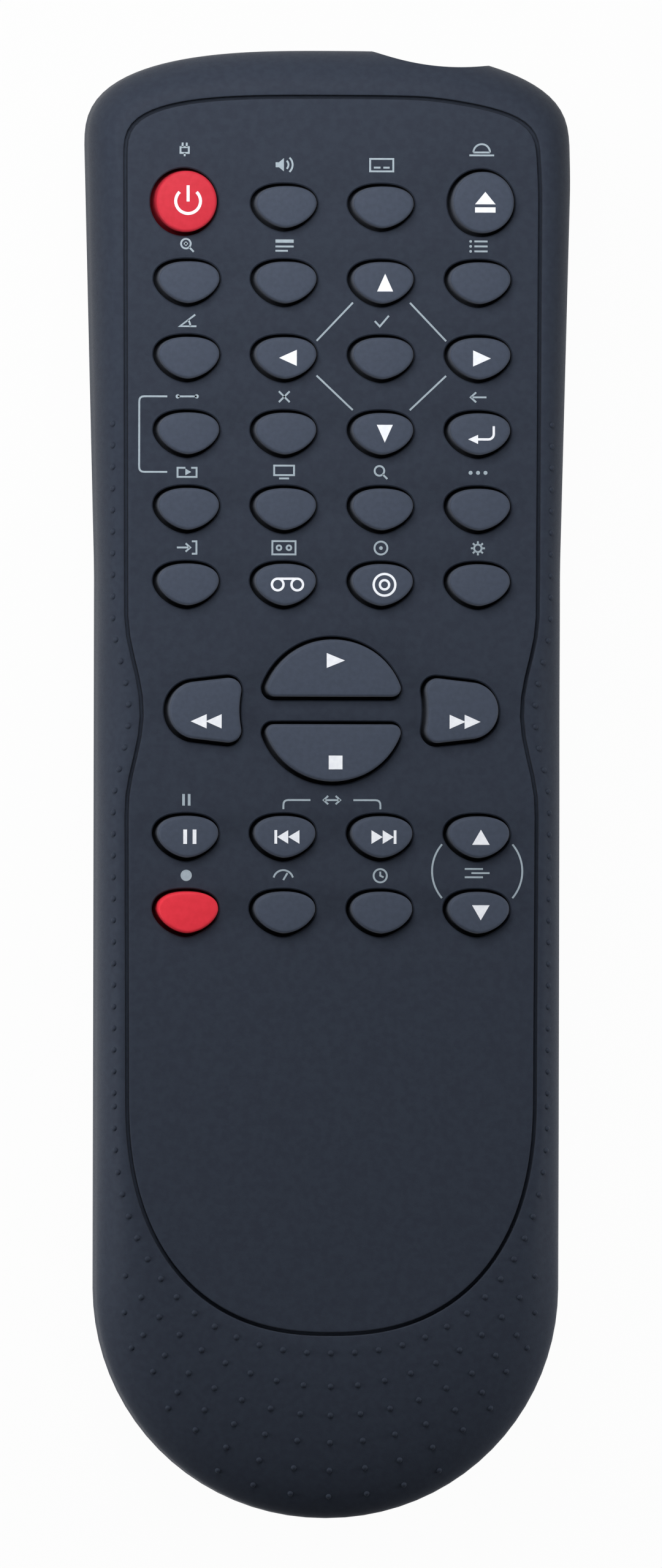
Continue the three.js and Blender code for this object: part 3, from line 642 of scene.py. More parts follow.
def joined(name, parts):
    """One object holding the meshes of several, which are deleted."""
    build = bmesh.new()
    for made in parts:
        build.from_mesh(made.data)
        delete(made)
    mesh = bpy.data.meshes.new(name)
    build.to_mesh(mesh)
    build.free()
    return placed(name, mesh)


def carve(target, operation, tools):
    """Combines a solid with others one after another and deletes them."""
    for tool in tools:
        modifier = target.modifiers.new("carve", "BOOLEAN")
        modifier.operation = operation
        modifier.solver = "EXACT"
        modifier.object = tool
        depsgraph = bpy.context.evaluated_depsgraph_get()
        result = bpy.data.meshes.new_from_object(target.evaluated_get(depsgraph))
        target.modifiers.clear()
        old = target.data
        target.data = result
        bpy.data.meshes.remove(old)
        delete(tool)
    return target


def cut(target, *tools):
    return carve(target, "DIFFERENCE", tools)


def add(target, *tools):
    return carve(target, "UNION", tools)


def shared(target, *tools):
    return carve(target, "INTERSECT", tools)


def wire(name, path, radius):
    """A round wire along a path of points."""
    path = [Vector(point) for point in path]
    side = None
    rings = []
    for i, point in enumerate(path):
        ahead = (path[min(i + 1, len(path) - 1)] - path[max(i - 1, 0)]).normalized()
        if side is None:
            side = ahead.orthogonal()
        side = (side - ahead * side.dot(ahead)).normalized()
        up = ahead.cross(side)
        turns = [2 * pi * k / WIRE_SIDES for k in range(WIRE_SIDES)]
        rings.append([point + (side * cos(turn) + up * sin(turn)) * radius for turn in turns])
    return skinned(name, rings)


SHARP_ANGLE = radians(32)
WELD = 0.0003


def finished(made, materials, body, slot, *nodes):
    """Gives a piece its materials, smooth shading and body; the slot is not used."""
    build = bmesh.new()
    build.from_mesh(made.data)
    bmesh.ops.remove_doubles(build, verts=build.verts, dist=WELD * MM)
    build.to_mesh(made.data)
    build.free()
    made.data.materials.clear()
    for material in materials:
        made.data.materials.append(material)
    made.data.shade_smooth()
    made.data.set_sharp_from_angle(angle=SHARP_ANGLE)
    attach(made, body)
    if nodes:
        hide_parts(*nodes)
    return made


# Materials

def shader_nodes(name):
    material = bpy.data.materials.new(name)
    material.use_nodes = True
    return material, material.node_tree.nodes, material.node_tree.links


def object_noise(nodes, links, feature, detail=2):
    """Noise whose blobs are about one feature across, in millimetres."""
    place = nodes.new("ShaderNodeTexCoord")
    noise = nodes.new("ShaderNodeTexNoise")
    noise.inputs["Scale"].default_value = 1 / (feature * MM)
    noise.inputs["Detail"].default_value = detail
    links.new(place.outputs["Object"], noise.inputs["Vector"])
    return noise.outputs["Fac"]


NOISE_LOW_SHARE = 0.35
NOISE_HIGH_SHARE = 0.65


def spread(nodes, links, source, low, high):
    """Maps the middle of a noise to a range."""
    ranged = nodes.new("ShaderNodeMapRange")
    ranged.inputs["From Min"].default_value = NOISE_LOW_SHARE
    ranged.inputs["From Max"].default_value = NOISE_HIGH_SHARE
    ranged.inputs["To Min"].default_value = low
    ranged.inputs["To Max"].default_value = high
    links.new(source, ranged.inputs["Value"])
    return ranged.outputs["Result"]


def combined(nodes, links, operation, first, second):
    """One value worked out from two."""
    result = nodes.new("ShaderNodeMath")
    result.operation = operation
    links.new(first, result.inputs[0])
    links.new(second, result.inputs[1])
    return result.outputs["Value"]


def two_tones(nodes, links, source, shade, colour):
    """Colours a surface between two close tones."""
    mix = nodes.new("ShaderNodeMix")
    mix.data_type = "RGBA"
    mix.inputs["A"].default_value = srgb(*shade)
    mix.inputs["B"].default_value = srgb(*colour)
    links.new(source, mix.inputs["Factor"])
    links.new(mix.outputs["Result"], nodes["Principled BSDF"].inputs["Base Color"])


def moulded(name, colour, shade, roughness, grain, depth, blotch, specular=0.5, metallic=0, sheen=0):
    """A moulded surface: two close tones in blotches, a fine grain in bump and roughness."""
    material, nodes, links = shader_nodes(name)
    shader = nodes["Principled BSDF"]
    tone = spread(nodes, links, object_noise(nodes, links, blotch), 0, 1)
    two_tones(nodes, links, tone, shade, colour)
    fine = object_noise(nodes, links, grain, detail=3)
    links.new(spread(nodes, links, fine, *roughness), shader.inputs["Roughness"])
    bump = nodes.new("ShaderNodeBump")
    bump.inputs["Distance"].default_value = depth * MM
    links.new(fine, bump.inputs["Height"])
    links.new(bump.outputs["Normal"], shader.inputs["Normal"])
    shader.inputs["Specular IOR Level"].default_value = specular
    shader.inputs["Metallic"].default_value = metallic
    shader.inputs["Sheen Weight"].default_value = sheen
    return material


housing_plastic = moulded(
    "housing_plastic", (47, 53, 64), (44, 49, 60), (0.5, 0.62), 0.2, 0.012, 0.8, specular=0.04, sheen=0.02
)
key_rubber = moulded(
    "key_rubber", (61, 68, 82), (58, 65, 78), (0.55, 0.66), 0.16, 0.006, 0.6, specular=0.1, sheen=0.06
)
# One red rubber in two painted copies: the power key's is darker, as painted shade, and the record key's
# is lighter, as painted light. Together they offset how the lamps fall from head to foot.
power_rubber_painted_shade = moulded(
    "power_rubber_painted_shade", (188, 46, 60), (182, 43, 56), (0.5, 0.6), 0.16, 0.005, 0.8, specular=0.1
)
record_rubber_painted_light = moulded(
    "record_rubber_painted_light", (214, 50, 64), (208, 47, 60), (0.5, 0.6), 0.16, 0.005, 0.8, specular=0.1
)
legend_ink = moulded(
    "legend_ink", (150, 163, 172), (143, 156, 166), (0.5, 0.6), 0.2, 0.003, 0.5, specular=0.3
)
glyph_ink = moulded(
    "glyph_ink", (228, 231, 236), (220, 223, 230), (0.5, 0.6), 0.2, 0.003, 0.5, specular=0.3
)
spring_steel = moulded(
    "spring_steel", (200, 199, 192), (186, 184, 176), (0.2, 0.32), 0.3, 0.002, 1.5, metallic=1
)
screw_steel = moulded(
    "screw_steel", (150, 150, 148), (120, 120, 120), (0.25, 0.4), 0.2, 0.003, 0.8, metallic=1
)
cell_sleeve = moulded(
    "cell_sleeve", (38, 82, 132), (34, 75, 122), (0.22, 0.3), 0.4, 0.002, 2, metallic=0.2
)
cell_band = moulded(
    "cell_band", (184, 116, 62), (172, 106, 54), (0.25, 0.35), 0.4, 0.002, 2, metallic=0.6
)
cell_metal = moulded(
    "cell_metal", (205, 203, 196), (190, 188, 182), (0.18, 0.28), 0.3, 0.002, 1.5, metallic=1
)
board_laminate = moulded(
    "board_laminate", (170, 122, 66), (150, 104, 54), (0.45, 0.6), 0.3, 0.01, 1.2
)
chip_resin = moulded("chip_resin", (26, 27, 30), (20, 21, 24), (0.45, 0.6), 0.15, 0.01, 1)
resonator_glaze = moulded(
    "resonator_glaze", (190, 104, 46), (176, 92, 38), (0.2, 0.3), 0.4, 0.01, 1
)


RESIN_CLEAR_SHARE = 0.85
RESIN_IOR = 1.5
RESIN_CLOUD = 1.2
RESIN_ROUGHNESS = (0.05, 0.12)


def clear_resin():
    """Water-clear moulded resin of the infrared diode."""
    material, nodes, links = shader_nodes("diode_resin")
    shader = nodes["Principled BSDF"]
    shader.inputs["Transmission Weight"].default_value = RESIN_CLEAR_SHARE
    shader.inputs["IOR"].default_value = RESIN_IOR
    cloud = object_noise(nodes, links, RESIN_CLOUD)
    two_tones(nodes, links, cloud, (214, 220, 234), (232, 235, 243))
    links.new(spread(nodes, links, cloud, *RESIN_ROUGHNESS), shader.inputs["Roughness"])
    return material


diode_resin = clear_resin()


# Shapes that both shells share

SCOOP_SIDES = 288
WALL_TOLERANCE = 0.02
SCOOP_MIDDLE_Y = HALF_LENGTH - SCOOP_DEPTH + SCOOP_RADIUS


def nose_opening():
    """The scoop with the bore in which the diode looks out."""
    scoop = rod("scoop", SCOOP_RADIUS, -OVERRUN, PANEL_Z + OVERRUN, SCOOP_X, SCOOP_MIDDLE_Y, SCOOP_SIDES)
    bore = along_y(rod("bore", DIODE_RADIUS + DIODE_GAP, 0, NOSE_BLOCK_DEPTH + 2 * OVERRUN))
    return add(scoop, moved(bore, DIODE_X, HALF_LENGTH - NOSE_BLOCK_DEPTH - OVERRUN, DIODE_Z))


def nose_block(low_z, high_z):
    """Thicker wall behind the scoop."""
    return block(
        "nose_block",
        (DIODE_X - NOSE_BLOCK_WIDTH / 2, HALF_LENGTH - NOSE_BLOCK_DEPTH, low_z),
        (DIODE_X + NOSE_BLOCK_WIDTH / 2, HALF_LENGTH + OVERRUN, high_z),
    )


def crisp_scoop(made):
    """Shades the scoop's wall on its own, apart from the skin that it cuts."""
    build = bmesh.new()
    build.from_mesh(made.data)

    def on_wall(face):
        centre = face.calc_center_median() / MM
        reach = hypot(centre.x - SCOOP_X, centre.y - SCOOP_MIDDLE_Y)
        return abs(reach - SCOOP_RADIUS) < WALL_TOLERANCE and abs(face.normal.z) < WALL_TOLERANCE

    for edge in build.edges:
        if len({on_wall(face) for face in edge.link_faces}) == 2:
            edge.smooth = False
    build.to_mesh(made.data)
    build.free()


# Upper shell

frame_edge = inset(panel_outline, -GROOVE_WIDTH / 2)
side_top = inset(body_outline, WALL_DRAFT)
frame_foot_z = PANEL_Z - FRAME_DROP


def upper_skin():
    rings = [
        ring_of(inset(body_outline, SEAM_EDGE), SEAM_TOP_Z),
        ring_of(body_outline, SEAM_TOP_Z + SEAM_EDGE),
    ]
    for angle in reversed(rounding(FRAME_STEPS)):
        rings.append(rounded_ring(frame_edge, side_top, angle, PANEL_Z, frame_foot_z))
    for across, down in GROOVE_SHARES:
        edge = inset(frame_edge, GROOVE_WIDTH * across)
        rings.append(ring_of(edge, PANEL_Z - GROOVE_DEPTH * down))
    return skinned("upper_shell", rings)


def upper_cavity():
    top = inset(panel_outline, CAVITY_INSET)
    side = inset(body_outline, WALL + WALL_DRAFT)
    rings = [ring_of(inset(body_outline, WALL), PARTING_Z - OVERRUN)]
    for angle in reversed(rounding(BOTTOM_STEPS)):
        rings.append(rounded_ring(top, side, angle, PANEL_UNDER_Z, frame_foot_z))
    return skinned("cavity", rings)


def aperture(name):
    """A cutter for a key's hole, flared where it meets the panel's face."""
    wall = key_outline(name, -KEY_GAP - APERTURE_GROWTH)
    mouth = key_outline(name, -KEY_GAP - APERTURE_GROWTH - APERTURE_EDGE)
    rings = [
        level(wall, PANEL_UNDER_Z - OVERRUN),
        level(wall, PANEL_Z - APERTURE_EDGE),
        level(mouth, PANEL_Z),
        level(mouth, PANEL_Z + OVERRUN),
    ]
    x, y = key_middle(name)
    return moved(skinned("aperture", rings), x - APERTURE_SHIFT, y - APERTURE_SHIFT)


def mat_rib():
    """A wall round the edge of the mat, which it clamps down on the board."""
    low = (mat_low.x, mat_low.y, mat_high.z + RIB_GAP)
    high = (mat_high.x, mat_high.y, PANEL_UNDER_Z + OVERRUN)
    hollow_low = (low[0] + RIB_WIDTH, low[1] + RIB_WIDTH, low[2] - OVERRUN)
    hollow_high = (high[0] - RIB_WIDTH, high[1] - RIB_WIDTH, high[2] + OVERRUN)
    return cut(block("rib", low, high), block("rib_hollow", hollow_low, hollow_high))


def hook(y):
    """A hook beside the board that catches it from below."""
    inner_x = board_high.x + HOOK_GAP
    toe_z = board_low.z - HOOK_GAP
    outer_x = inner_x + HOOK_THICKNESS
    profile = [
        (outer_x, PANEL_UNDER_Z + OVERRUN),
        (inner_x, PANEL_UNDER_Z + OVERRUN),
        (inner_x, toe_z),
        (inner_x - HOOK_REACH, toe_z),
        (inner_x - HOOK_REACH, toe_z - HOOK_THICKNESS / 2),
        (inner_x, toe_z - HOOK_THICKNESS),
        (outer_x, toe_z - HOOK_THICKNESS),
    ]
    ends = [y + HOOK_LENGTH / 2, y - HOOK_LENGTH / 2]
    return skinned("hook", [[(x, end, z) for x, z in profile] for end in ends])


def upper_boss(x):
    """A hollow boss that a case screw bites into."""
    low_z = SCREW_SEAT_Z + BOSS_FLOOR + BOSS_GAP
    boss = rod("boss", UPPER_BOSS_RADIUS, low_z, PANEL_UNDER_Z + OVERRUN, x, SCREW_Y)
    radius = SCREW_SHANK_RADIUS + PILOT_GAP
    return cut(boss, rod("pilot", radius, low_z - OVERRUN, SCREW_SEAT_Z + SCREW_LENGTH, x, SCREW_Y))


def upper_shell():
    inside = upper_cavity()
    fillings = [nose_block(PARTING_Z - 2 * OVERRUN, PANEL_Z), upper_boss(-SCREW_X), upper_boss(SCREW_X)]
    for share in HOOK_SHARES:
        y = board_high.y - (board_high.y - board_low.y) * share
        fillings += [hook(y), flipped(hook(y), (1, 0, 0))]
    cut(inside, joined("fillings", fillings), mat_rib())
    holes = joined("apertures", [aperture(name) for name in KEY_NAMES])
    shell = cut(upper_skin(), inside, holes, nose_opening())
    crisp_scoop(finished(shell, [housing_plastic], "case", "housing", "upper_housing"))


upper_shell()


# Grip pips, small domes on the frame beside the panel and round the foot

def frame_spot(ray, out):
    """Place and normal of the point on the frame at a distance outside its inner edge."""
    start_y, dx, dy = ray
    inner = reach_along(frame_edge, ray)
    run = reach_along(side_top, ray) - inner
    share = out / run
    fall = sqrt(1 - share ** 2)
    slope = FRAME_DROP * share / (fall * run)
    length = inner + out
    place = Vector((dx * length, start_y + dy * length, PANEL_Z - FRAME_DROP * (1 - fall)))
    return place, Vector((dx * slope, dy * slope, 1)).normalized()


def pip(place, normal):
    """A dome whose foot is sunk in the surface."""
    profile = [(PIP_RADIUS, -PIP_SINK), *dome(PIP_RADIUS, PIP_HEIGHT, PIP_STEPS)]
    made = turned("pip", profile, PIP_SIDES)
    turn = normal.to_track_quat("Z", "Y").to_matrix().to_4x4()
    made.data.transform(Matrix.Translation(place * MM) @ turn)
    return made


def side_pips():
    """The row beside the groove, from the upper rows of keys down to the foot's rows."""
    count = round((PIP_HEAD_Y - PIP_CENTRE_Y) / PIP_PITCH)
    pips = []
    for i in range(count):
        y = PIP_HEAD_Y + (PIP_CENTRE_Y - PIP_HEAD_Y) * i / count
        for side in (-1, 1):
            pips.append(pip(*frame_spot((y, side, 0), PIP_SIDE_OUT)))
    return pips


def foot_pips():
    """Rows on rays fanning from one centre, the first of them following the groove."""
    pips = []
    quarter = round(pi / 2 / PIP_STEP)
    for i in range(-quarter, quarter + 1):
        angle = i * PIP_STEP
        ray = (PIP_CENTRE_Y, sin(angle), -cos(angle))
        out = PIP_FOOT_OUT + (PIP_SIDE_OUT - PIP_FOOT_OUT) * (angle / (pi / 2)) ** 2
        pips.append(pip(*frame_spot(ray, out)))
        for middle_radius, end_radius, steps in PIP_ROWS:
            if abs(i) <= steps:
                radius = middle_radius + (end_radius - middle_radius) * (i / steps) ** 2
                pips.append(pip(*frame_spot(ray, radius - reach_along(frame_edge, ray))))
    return pips


finished(joined("grip_pips", side_pips() + foot_pips()), [housing_plastic], "case", "housing")


# Keys

# The red keys take the painted darker and lighter copies of one red rubber
RED_KEYS = {"power": power_rubber_painted_shade, "record": record_rubber_painted_light}
EDGE_STEPS = 8
CROWN_SHARES = (0.85, 0.65, 0.45, 0.25, 0.08)


def crown_reach(name):
    """Half the width of a key's top."""
    low, high = corners(name + "_key")
    return (high.x - low.x) / 2 - KEY_SKIRT


crown_reaches = {name: crown_reach(name) for name in KEY_NAMES}


def crown_z(name, x, y):
    """Height of a key's crowned top, about the key's own middle."""
    return KEY_TOP_Z - INK_HEIGHT - KEY_CROWN * (x ** 2 + y ** 2) / crown_reaches[name] ** 2


def key_cap(name):
    """A key: stem, skirt, sides, rolled edge and a faintly crowned top."""
    low = corners(name + "_key")[0]
    outline = key_outline(name, 0)
    stem = [(x / hypot(x, y) * STEM_RADIUS, y / hypot(x, y) * STEM_RADIUS) for x, y in outline]
    skirt_z = mat_high.z + KEY_TRAVEL + SKIRT_GAP
    rings = [
        level(stem, low.z),
        level(stem, skirt_z),
        level(key_outline(name, -KEY_SKIRT), skirt_z),
        level(outline, PANEL_UNDER_Z - SKIRT_GAP),
    ]
    for angle in rounding(EDGE_STEPS):
        edge = key_outline(name, KEY_DRAFT + KEY_EDGE * (1 - cos(angle)))
        down = KEY_EDGE * (1 - sin(angle))
        rings.append([(x + KEY_SHIFT_X, y, crown_z(name, x, y) - down) for x, y in edge])
    top = key_outline(name, KEY_DRAFT + KEY_EDGE)
    for share in CROWN_SHARES:
        inner = [(x * share, y * share) for x, y in top]
        rings.append([(x + KEY_SHIFT_X, y, crown_z(name, x, y)) for x, y in inner])
    made = moved(skinned(name + "_cap", rings), *key_middle(name))
    material = RED_KEYS.get(name, key_rubber)
    slot = "red_key" if name in RED_KEYS else "key_rubber"
    finished(made, [material], name, slot, name + "_key")


for key_name in KEY_NAMES:
    key_cap(key_name)


# Legends. A mark is (points, width, closed), or (points, 0, True) for a filled shape

def line(*points):
    return (list(points), 1, False)


def loop(*points):
    return (list(points), 1, True)


def fill(*points):
    return (list(points), 0, True)


def bow(x, y, radius, start, end):
    """An open arc between two angles in degrees."""
    return (arc(x, y, radius, radians(start), radians(end), BOW_POINTS), 1, False)


def ring(x, y, radius):
    return (arc(x, y, radius, 0, 2 * pi, RING_POINTS)[1:], 1, True)


def dot(x, y, radius):
    return (arc(x, y, radius, 0, 2 * pi, DOT_POINTS)[1:], 0, True)


def rectangle(low_x, low_y, high_x, high_y):
    return loop((low_x, low_y), (high_x, low_y), (high_x, high_y), (low_x, high_y))


def bar(low_x, low_y, high_x, high_y):
    return fill((low_x, low_y), (high_x, low_y), (high_x, high_y), (low_x, high_y))


def flat_triangle(tip, base, half):
    """A filled triangle along x, from its tip to its base."""
    points = [(tip, 0), (base, half), (base, -half)]
    return fill(*(points if base < tip else reversed(points)))


def stood_up(marks):
    """Turns marks by a quarter, so that what points to +x points to +y."""
    return [([(-y, x) for x, y in points], width, closed) for points, width, closed in marks]


def shifted(marks, dx, dy):
    return [([(x + dx, y + dy) for x, y in points], width, closed) for points, width, closed in marks]


def ribbon(points, width, closed, height):
    """A flat stroke along points, laid at height(x, y) with mitred bends."""
    count = len(points)
    rings = []
    for i, point in enumerate(points):
        here = Vector(point)
        before = Vector(points[i - 1]) if closed or i else None
        after = Vector(points[(i + 1) % count]) if closed or i < count - 1 else None
        back = (here - before).normalized() if before else (after - here).normalized()
        ahead = (after - here).normalized() if after else back
        mitre = (back + ahead).normalized()
        across = Vector((-mitre.y, mitre.x))
        stretch = width / 2 / max(LEAST_MITRE_SHARE, across.dot(Vector((-ahead.y, ahead.x))))
        left = here + across * stretch
        right = here - across * stretch
        top_left = height(*left)
        top_right = height(*right)
        rings.append([
            (*left, top_left),
            (*left, top_left - INK_SINK),
            (*right, top_right - INK_SINK),
            (*right, top_right),
        ])
    return skinned("stroke", rings, closed)


def patch(points, height):
    """A filled shape laid at height(x, y)."""
    tops = [(x, y, height(x, y)) for x, y in points]
    feet = [(x, y, z - INK_SINK) for x, y, z in tops]
    return skinned("patch", [feet, tops])


def printed(marks, stroke, height):
    """Solids for marks, their lines one stroke wide."""
    solids = []
    for points, width, closed in marks:
        if width:
            solids.append(ribbon(points, stroke, closed, height))
        else:
            solids.append(patch(points, height))
    return solids


def flat_height(_x, _y):
    return PANEL_Z + INK_HEIGHT


# Signs printed above the keys, about their own middles
MAGNIFIER = [ring(-0.2, 0.2, 0.58), line((0.2, -0.22), (0.75, -0.78))]
PANEL_SIGNS = {
    "power": [
        rectangle(-0.5, -0.45, 0.5, 0.25),
        line((-0.25, 0.25), (-0.25, 0.8)),
        line((0.25, 0.25), (0.25, 0.8)),
        line((0, -0.45), (0, -0.85)),
    ],
    "audio": [
        fill((-1.1, -0.3), (-0.7, -0.3), (-0.1, -0.8), (-0.1, 0.8), (-0.7, 0.3), (-1.1, 0.3)),
        bow(-0.2, 0, 0.65, -48, 48),
        bow(-0.2, 0, 1.15, -48, 48),
    ],
    "subtitle": [
        rectangle(-1.4, -0.75, 1.4, 0.75),
        line((-0.95, -0.3), (-0.15, -0.3)),
        line((0.2, -0.3), (0.95, -0.3)),
    ],
    "open_close": [
        line((-1.5, -0.6), (1.5, -0.6)),
        bow(0, -0.25, 1, 0, 180),
        line((-1, -0.25), (1, -0.25)),
    ],
    "zoom": [*MAGNIFIER, line((-0.45, 0.2), (0.05, 0.2)), line((-0.2, -0.05), (-0.2, 0.45))],
    "title": [
        bar(-1.1, 0.35, 1.1, 0.75),
        line((-1.1, -0.1), (1.1, -0.1)),
        line((-1.1, -0.62), (0.4, -0.62)),
    ],
    "menu": [
        *(dot(-0.95, y, 0.16) for y in (0.6, 0, -0.6)),
        *(line((-0.5, y), (1.1, y)) for y in (0.6, 0, -0.6)),
    ],
    "angle": [line((0.95, 0.75), (-0.9, -0.65), (1.1, -0.65)), bow(-0.9, -0.65, 1.25, 0, 37)],
    "enter": [line((-0.8, 0.05), (-0.2, -0.6), (0.9, 0.7))],
    "a_b": [dot(-1.15, 0, 0.25), line((-1.15, 0), (1.15, 0)), dot(1.15, 0, 0.25)],
    "clear": [line((-0.65, -0.65), (0.65, 0.65)), line((-0.65, 0.65), (0.65, -0.65))],
    "return": [line((-0.8, 0), (1.0, 0)), line((-0.25, 0.6), (-0.9, 0), (-0.25, -0.6))],
    "repeat": [
        line((0.5, 0.5), (1.15, 0.5), (1.15, -0.6), (-1.15, -0.6), (-1.15, 0.5), (-0.2, 0.5)),
        flat_triangle(0.5, -0.2, 0.4),
    ],
    "display": [rectangle(-1.2, -0.35, 1.2, 0.8), line((-0.6, -0.75), (0.6, -0.75))],
    "search": MAGNIFIER,
    "mode": [dot(x, 0, 0.24) for x in (-0.9, 0, 0.9)],
    "input": [
        line((-1.2, 0), (0.3, 0)),
        line((-0.15, 0.5), (0.4, 0), (-0.15, -0.5)),
        line((0.6, 0.75), (1.15, 0.75), (1.15, -0.75), (0.6, -0.75)),
    ],
    "tape": [rectangle(-1.4, -0.8, 1.4, 0.8), ring(-0.6, 0, 0.28), ring(0.6, 0, 0.28)],
    "disc": [ring(0, 0, 0.78), dot(0, 0, 0.22)],
    "setup": [
        ring(0, 0, 0.45),
        *(
            line(*((reach * cos(turn), reach * sin(turn)) for reach in (0.5, 0.85)))
            for turn in (pi / 4 * i for i in range(8))
        ),
    ],
    "pause": [bar(-0.5, -0.7, -0.18, 0.7), bar(0.18, -0.7, 0.5, 0.7)],
    "record": [dot(0, 0, 0.68)],
    "speed": [bow(0, -0.55, 1.2, 15, 165), line((0, -0.55), (0.5, 0.3))],
    "timer": [ring(0, 0, 0.8), line((0, 0.5), (0, 0), (0.4, -0.2))],
}

# Where the panel's signs and lines are, measured from the keys that they belong to
SIGN_RISE = 4.45
TOP_SIGN_RISE = 5.1
ROUND_SIGN_RISE = 6.3
CROSS_KEY_X = 3.45
CROSS_UP_DROP = 2.4
CROSS_DOWN_RISE = 2.87
CROSS_SIDE_X = 3.9
CROSS_SIDE_Y = 2.1
BRACKET_OUTER_X = 5.79
BRACKET_INNER_X = 2.4
BRACKET_CORNER = 0.6
BRACKET_BEND_SHARES = (0, 0.25, 0.5, 0.75, 1)
SKIP_GAP_HALF = 2.6
SKIP_LEG = 1.1
PAREN_RADIUS = 5
PAREN_SHIFT_X = 0.46
PAREN_ANGLE = 40.5
PAREN_RISE = 0.45

SKIP_SIGN = [
    line((-0.95, 0), (0.95, 0)),
    line((-0.45, 0.5), (-1.0, 0), (-0.45, -0.5)),
    line((0.45, -0.5), (1.0, 0), (0.45, 0.5)),
]
TRACKING_SIGN = [
    line((-1.5, 0.5), (0.7, 0.5)),
    line((-0.7, 0), (1.5, 0)),
    line((-1.5, -0.5), (0.7, -0.5)),
]


def sign_rise(name):
    if name in ("power", "open_close"):
        return ROUND_SIGN_RISE
    return TOP_SIGN_RISE if name in ("audio", "subtitle") else SIGN_RISE


def cross_lines():
    """The four slanted lines between the arrow keys."""
    marks = []
    for up, rise in (("up", -CROSS_UP_DROP), ("down", CROSS_DOWN_RISE)):
        x, y = key_middle(up)
        for side, name in ((-1, "left"), (1, "right")):
            side_x, side_y = key_middle(name)
            side_y += CROSS_SIDE_Y if up == "up" else -CROSS_SIDE_Y
            start = (x + side * CROSS_KEY_X, y + rise)
            marks.append(line(start, (side_x - side * CROSS_SIDE_X, side_y)))
    return marks


def bent(start, corner, end):
    """A line with one rounded bend."""
    start, corner, end = Vector(start), Vector(corner), Vector(end)
    into = corner - (corner - start).normalized() * BRACKET_CORNER
    out = corner + (end - corner).normalized() * BRACKET_CORNER
    bend = [into.lerp(corner, t).lerp(corner.lerp(out, t), t) for t in BRACKET_BEND_SHARES]
    return [tuple(point) for point in (start, *bend, end)]


def repeat_bracket():
    """The line that ties the a_b key to the repeat key."""
    x, high_y = key_middle("a_b")
    low_y = key_middle("repeat")[1] + SIGN_RISE
    high_y += SIGN_RISE
    outer = x - BRACKET_OUTER_X
    half_y = (high_y + low_y) / 2
    upper = bent((x - BRACKET_INNER_X, high_y), (outer, high_y), (outer, half_y))
    lower = bent((outer, half_y), (outer, low_y), (x - BRACKET_INNER_X, low_y))
    return [line(*upper, *lower[1:])]


def skip_brackets():
    marks = []
    for name, side in (("skip_back", -1), ("skip_forward", 1)):
        x, y = key_middle(name)
        top = y + SIGN_RISE
        marks.append(line(*bent((x, top - SKIP_LEG), (x, top), (side * SKIP_GAP_HALF, top))))
    return marks


def tracking_brackets():
    x, high_y = key_middle("tracking_up")
    y = (high_y + key_middle("tracking_down")[1]) / 2 + PAREN_RISE
    return [
        bow(x + PAREN_SHIFT_X, y, PAREN_RADIUS, -PAREN_ANGLE, PAREN_ANGLE),
        bow(x - PAREN_SHIFT_X, y, PAREN_RADIUS, 180 - PAREN_ANGLE, 180 + PAREN_ANGLE),
        *shifted(TRACKING_SIGN, x, y - PAREN_RISE / 2),
    ]


def panel_legends():
    marks = cross_lines() + repeat_bracket() + skip_brackets() + tracking_brackets()
    marks += shifted(SKIP_SIGN, 0, key_middle("skip_back")[1] + SIGN_RISE)
    for name, sign in PANEL_SIGNS.items():
        x, y = key_middle(name)
        marks += shifted(sign, x, y + sign_rise(name))
    made = joined("panel_signs", printed(marks, PANEL_STROKE, flat_height))
    finished(made, [legend_ink], "case", "housing")


panel_legends()

# Signs on the keys, about the middle of each key
ARROW = flat_triangle(1.07, -1.07, 0.97)
TRACKING_ARROW = flat_triangle(0.91, -0.91, 1.06)
SKIP_ARROWS = [
    bar(1.18, -0.82, 1.51, 0.82),
    flat_triangle(1.18, -0.15, 0.82),
    flat_triangle(-0.15, -1.51, 0.82),
]
WIND_ARROWS = [
    flat_triangle(1.87, -0.06, 0.86),
    flat_triangle(0.06, -1.87, 0.86),
]
RETURN_LINE = line((1.45, 0.95), *arc(0.8, 0, 0.65, 0, -pi / 2, END_POINTS), (-0.6, -0.65))
RETURN_TIP = flat_triangle(0.6, -0.6, 0.55)
EJECT_TIP = flat_triangle(0.75, -0.75, 1.24)


def turned_round(marks):
    return stood_up(stood_up(marks))


KEY_SIGNS = {
    "power": [bow(0, 0, 1.5, 133, 407), line((0, -0.05), (0, 1.9))],
    "open_close": [*shifted(stood_up([EJECT_TIP]), 0, 0.5), bar(-1.24, -1.25, 1.24, -0.62)],
    "up": stood_up([ARROW]),
    "down": turned_round(stood_up([ARROW])),
    "left": turned_round([ARROW]),
    "right": [ARROW],
    "return": [RETURN_LINE, *shifted(turned_round([RETURN_TIP]), -1.05, -0.65)],
    "tape": [ring(-1.18, 0, 0.7), ring(1.18, 0, 0.7), line((-1.18, 0.7), (1.18, 0.7))],
    "disc": [ring(0, 0, 1.31), ring(0, 0, 0.56)],
    "play": shifted([flat_triangle(1.1, -1.1, 0.9)], 0, 0.9),
    "stop": [bar(-0.83, -1.99, 0.83, -0.33)],
    "rewind": shifted(turned_round(WIND_ARROWS), 0, -1.35),
    "forward": shifted(WIND_ARROWS, 0, -1.35),
    "pause": [bar(-0.79, -0.87, -0.34, 0.87), bar(0.34, -0.87, 0.79, 0.87)],
    "skip_back": turned_round(SKIP_ARROWS),
    "skip_forward": SKIP_ARROWS,
    "tracking_up": stood_up([TRACKING_ARROW]),
    "tracking_down": turned_round(stood_up([TRACKING_ARROW])),
}
KEY_SIGN_SHIFT_X = 0.35
THIN_SIGNS = ("tape", "disc", "return")
THIN_STROKE = 0.28


